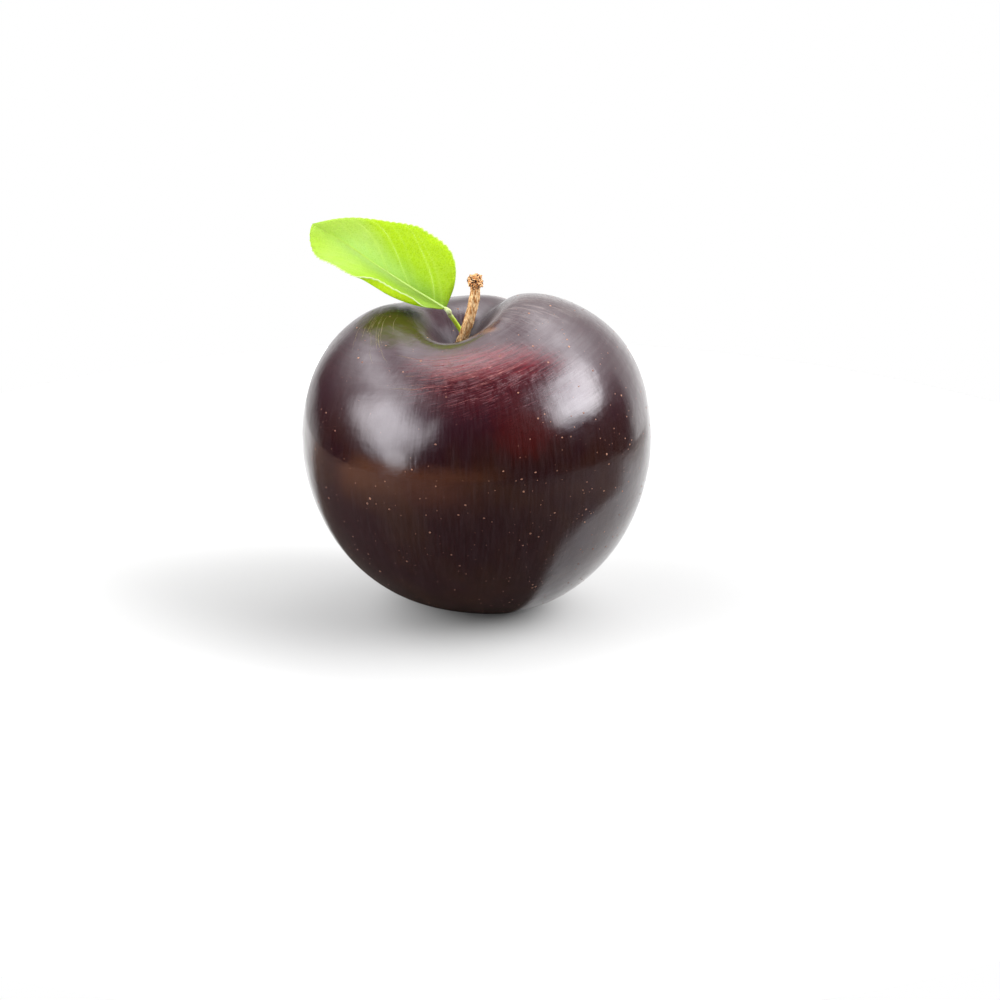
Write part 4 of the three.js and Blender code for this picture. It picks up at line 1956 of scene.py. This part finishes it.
    def _rib_line(self) -> tuple[Array, Array]:
        """The stem and the rib under the blade, as one line.

        Returns:
            Its places, and its radius at each, in mm.
        """
        stem_share = np.linspace(0, self.blade_start, 70, endpoint=False)
        share = np.linspace(0, 0.985, 150)
        place, _, _, up = self._frame(share)
        rib = place + up * (0.03 * smoothstep(share, 0, 0.06))[..., None]
        foot = 0.10 * (1 - smoothstep(stem_share, 0.10, 0.24))
        into = smoothstep(stem_share, self.blade_start - 0.06, self.blade_start)
        joint = 0.10 * hill(stem_share, self.blade_start - 0.03, 0.06)
        stem_radius = blend(self.stem_radius, self.rib_radius, into) + foot + joint
        radius = blend(self.rib_radius, self.rib_tip_radius, smoothstep(share, 0.0, 0.95) ** 0.7)
        line = np.vstack([along_line(self.line, stem_share), rib])
        return line, np.concatenate([stem_radius, radius])

    def _vein_lines(self) -> tuple[list[Array], list[Array]]:
        """The side veins, on the upper face and more strongly beneath.

        Returns:
            The places of each, and its radius at each place, in mm.
        """
        lines, girths = [], []
        thin, more = self.lower_vein
        for side, foot, strength in self._side_veins():
            share, across = self._vein_path(foot, side, 34)
            taper = 1 - 0.65 * np.linspace(0, 1, len(share))
            above, beneath = self.upper_vein * strength, thin + more * strength
            for way, girth in ((1, above), (-1, beneath)):
                lines.append(self._surface_line(share, across, way * self.vein_lift))
                girths.append(girth * taper)
        return lines, girths

    def _grow_tooth_tips(self, material: bpy.types.Material) -> bpy.types.Object:
        """Puts a small pale gland on the point of every tooth.

        Args:
            material: Their material.

        Returns:
            One object with all the glands.
        """
        tree = Growth("tooth_tips")
        size, seed = tree.size("Gland Size"), tree.size("Seed", "NodeSocketInt")
        points = tree.node("GeometryNodeMeshToPoints", {"mode": "VERTICES"}, {"Mesh": tree.base()})
        wide = size * tree.random(0.7, 1.15, seed)
        turn = tree.node("FunctionNodeEulerToRotation")
        tree.close(tree.beads(points, turn, tree.join(wide, wide, wide)), material)
        places = []
        for side in Side:
            tooth = np.arange(3, self.teeth - 1) + 0.62 - self.tooth_shift * side.value
            share = blend(*self.toothed, tooth / self.teeth)
            places.append(self.middle(share, side.value * self._edge_share(share, side)))
        base = lay_mesh("tooth_points", to_metres(np.concatenate(places)), [])
        sizes = {"Gland Size": self.gland_size * MILLIMETRE, "Seed": self.gland_seed}
        return tree.grow("leaf_tooth_tips", base, sizes)

    def build(self) -> list[bpy.types.Object]:
        """Makes and dresses the blade, its rib and stem, its veins and its tooth tips.

        Returns:
            The pieces.
        """
        pale = self.pale.make()
        blade = self._lay_blade("leaf_blade")
        blade.data.materials.append(self.green.make())
        line, girth = self._rib_line()
        rib = grow_tubes("leaf_rib", [line], [girth], self.rib_sides, pale)
        veins = grow_tubes("leaf_veins", *self._vein_lines(), self.vein_sides, pale)
        tips = self._grow_tooth_tips(pale)
        return [
            dress(blade, Slot.GREEN, "leaf"),
            dress(rib, Slot.GREEN),
            dress(veins, Slot.GREEN),
            dress(tips, Slot.GREEN),
        ]


# ---------------------------------------- studio


@dataclass(frozen=True)
class Softbox:
    """A lamp behind a rounded cloth, which lights the plum from far off with a soft edge."""

    azimuth: float            # degrees from straight behind the plum, clockwise seen from above
    elevation: float          # degrees above the table
    roll: float               # degrees that its right end leans up
    half_width: float         # as a share of its distance
    half_height: float
    roundness: float          # 1 is a kite, 2 an ellipse, more a rounded square
    softness: float
    brightness: float
    taper: float = 0.0        # how much wider its top is than its middle, as a share
    gradient: float = 0.0     # how much brighter it gets with height, as a share

    def _axes(self) -> tuple[Vector, Vector, Vector]:
        """Its place and how it is turned.

        Returns:
            The ways towards its middle, to its right and to its top.
        """
        turn, rise, roll = map(math.radians, (self.azimuth, self.elevation, self.roll))
        flat = Vector((math.sin(turn), math.cos(turn), 0.0))
        middle = flat * math.cos(rise) + Vector((0.0, 0.0, math.sin(rise)))
        level = Vector((math.cos(turn), -math.sin(turn), 0.0))
        steep = level.cross(middle)
        steep = steep if steep.z > 0 else -steep
        right = level * math.cos(roll) + steep * math.sin(roll)
        return middle, right, steep * math.cos(roll) - level * math.sin(roll)

    def shine(self, tree: Wiring, way: Wire) -> Wire:
        """Its brightness in each direction.

        Args:
            tree: The surround's tree.
            way: The direction looked in.

        Returns:
            The brightness, which is 0 beyond its soft edge.
        """
        toward, aside, upward = (
            tree.vector("DOT_PRODUCT", way, tuple(axis), out="Value") for axis in self._axes()
        )
        facing = toward.most(0.05)
        aside, upward = aside / facing / self.half_width, upward / facing / self.half_height
        aside = aside / (1.0 + upward * self.taper).most(0.1)
        power = self.roundness
        away = (abs(aside) ** power + abs(upward) ** power) ** (1.0 / power)
        lit = 1.0 - away.ease(1.0 - self.softness, 1.0 + self.softness)
        _, _, height = tree.split(way)
        slope = 1.0 + (height - math.sin(math.radians(self.elevation))) * self.gradient
        return lit * toward.math("GREATER_THAN", toward, 0.06) * slope.most(0.1) * self.brightness


@dataclass(frozen=True)
class Bearing:
    """Where a direction of the surround points, as wires."""

    ahead: Wire               # how far behind the plum, from -1 to 1
    aside: Wire               # how far to the right, from -1 to 1
    height: Wire              # degrees above the table


@dataclass
class Studio:
    """A pale table in a bright surround with seven softboxes, seen from a little above."""

    floor_reach: float = 0.165                     # metres, as the camera's distance
    floor_sides: int = 128
    camera_elevation: float = math.radians(20)
    camera_distance: float = 0.62
    lens: float = 120.0
    sensor: float = 36.0
    aim: tuple[float, float] = (475.8, 431.0)      # where the plum's middle stands in the picture
    picture: float = 1000.0
    white: Colour = (1.0, 1.0, 1.0, 1)
    warm: Colour = (1.0, 0.38, 0.12, 1)            # the light from low down in front
    dimmest: float = 0.02
    floor: FloorFinish = field(default_factory=FloorFinish)
    boxes: tuple[Softbox, ...] = (
        Softbox(-115.2, 20.5, 34.6, 0.44, 0.32, 4.4, 0.62, 7.9, 0.0, 0.3),
        Softbox(97.8, 36.8, -29.7, 0.52, 0.37, 1.4, 0.45, 9.2, 0.17, -1.9),
        Softbox(-80.0, 53.0, 0.0, 0.34, 0.19, 2.0, 0.70, 1.9),
        Softbox(27.0, 60.0, 0.0, 0.30, 0.15, 2.0, 0.70, 3.2),
        Softbox(-146.0, 29.0, 0.0, 0.05, 0.17, 2.0, 0.60, 2.6),
        Softbox(-129.0, -3.0, 0.0, 0.14, 0.10, 2.0, 0.60, 3.0),
        Softbox(96.0, 17.0, 0.0, 0.12, 0.05, 2.0, 0.60, 1.6),
    )

    def _lay_floor(self) -> None:
        """A round pale table top, which ends where the picture is white all round."""
        turn = np.arange(self.floor_sides) * 2 * math.pi / self.floor_sides
        circle = np.stack([np.cos(turn), np.sin(turn), 0 * turn], -1) * self.floor_reach
        points = np.vstack([circle * 0.15, circle * 0.4, circle, [[0.0, 0.0, 0.0]]])
        quads = grid_faces(3, self.floor_sides, wrap=True, flip=True).tolist()
        middle = len(points) - 1
        hub = [(middle, side, (side + 1) % self.floor_sides) for side in range(self.floor_sides)]
        table = lay_mesh("table", points, quads + hub)
        table.data.materials.append(self.floor.make())

    @staticmethod
    def _backdrop(way: Bearing) -> Wire:
        """The bright wall behind the plum, which reaches below the table's rim.

        Args:
            way: The direction.

        Returns:
            Its brightness.
        """
        ahead, aside, height = way.ahead, way.aside, way.height
        right = aside.most(0.0)
        low = (ahead + right * 0.2).ease(0.66, 0.80) * (1.0 - height.ease(-7.0, 0.0))
        low = low.most(ahead.ease(0.50, 0.64) * (1.0 - height.ease(-10.0, -5.0)))
        wall = (ahead + aside * 0.24).ease(0.62, 0.84).most(low)
        wall = wall * (0.90 + aside * 0.38) * (1.0 - height.ease(0.0, 33.0))
        return wall + low * right * (1.0 - height.ease(-7.0, 2.0)) * 0.6

    @staticmethod
    def _arch(way: Bearing) -> Wire:
        """The soft arch of light above, brightest on the right and towards the front.

        Args:
            way: The direction.

        Returns:
            Its brightness.
        """
        band = way.height.bell(55.5, 26.0) * (1.0 - way.height.ease(48.0, 74.0))
        sides = (5.0 + way.aside.most(0.0) * 1.1 - way.ahead * 2.6).most(0.0)
        return band * way.ahead.ease(-1.0, 0.69) * sides

    @staticmethod
    def _front(way: Bearing) -> Wire:
        """The warm glow from low down in front, most of it from the left.

        Args:
            way: The direction.

        Returns:
            Its brightness.
        """
        below = (1.0 - way.ahead.ease(-0.3, 0.1)) * (1.0 - way.height.ease(-12.0, -1.0))
        return below * (0.09 + (0.5 - way.aside).ease(0.0, 0.9) * 0.95)

    def _light_surround(self) -> None:
        """A surround that the camera sees as white, bright behind and above, and dim in front."""
        world = bpy.data.worlds.new("surround")
        bpy.context.scene.world = world
        world.use_nodes = True
        world.node_tree.nodes.clear()
        tree = Wiring(world.node_tree)
        way = tree.node("ShaderNodeTexCoord", out="Generated")
        x, y, z = tree.split(way)
        level = (x * x + y * y + 0.0001) ** 0.5
        bearing = Bearing(y / level, x / level, z.math("ARCSINE", z) * (180 / math.pi))
        front = self._front(bearing)
        glow = self.dimmest + self._backdrop(bearing) + self._arch(bearing) + front
        for box in self.boxes:
            glow = glow + box.shine(tree, way)
        seen = tree.node("ShaderNodeLightPath", out="Is Camera Ray")
        warm = (front / (glow + 0.01)).least(1.0) * (1.0 - seen)
        sockets = {
            "Color": tree.tint(warm, self.white, self.warm),
            "Strength": glow * (1.0 - seen) + seen,
        }
        shine = tree.node("ShaderNodeBackground", None, sockets)
        tree.node("ShaderNodeOutputWorld", None, {"Surface": shine})

    def _set_camera(self) -> None:
        """Puts the camera where the plum stands at its place in the picture."""
        rise = self.camera_elevation
        ahead = Vector((0, math.cos(rise), -math.sin(rise)))
        right = Vector((1, 0, 0))
        up = Vector((0, math.sin(rise), math.cos(rise)))
        focal = self.lens / self.sensor * self.picture
        aside, below = ((place - self.picture / 2) / focal for place in self.aim)
        way = ahead + right * aside - up * below
        spot = Vector(MIDDLE) * MILLIMETRE - way * self.camera_distance
        data = bpy.data.cameras.new("camera")
        data.lens, data.sensor_width = self.lens, self.sensor
        data.clip_start, data.clip_end = 0.01, 20.0
        camera = bpy.data.objects.new("camera", data)
        bpy.context.collection.objects.link(camera)
        turn = Matrix((right, up, -ahead)).transposed().to_4x4()
        camera.matrix_world = Matrix.Translation(spot) @ turn
        bpy.context.scene.camera = camera

    def build(self) -> None:
        """Sets up the table, the light and the camera."""
        self._lay_floor()
        self._light_surround()
        self._set_camera()
        bpy.context.scene.view_settings.view_transform = "Standard"


# ---------------------------------------- the plum


def main() -> None:
    """Builds the studio and then the plum, piece by piece."""
    logging.basicConfig(level=logging.INFO, format="%(name)s: %(message)s")
    Studio().build()
    for part in (Fruit(), Stalk(), Leaf()):
        pieces = part.build()
        log.info("%s has %d pieces", type(part).__name__.lower(), len(pieces))


if __name__ == "__main__":
    main()
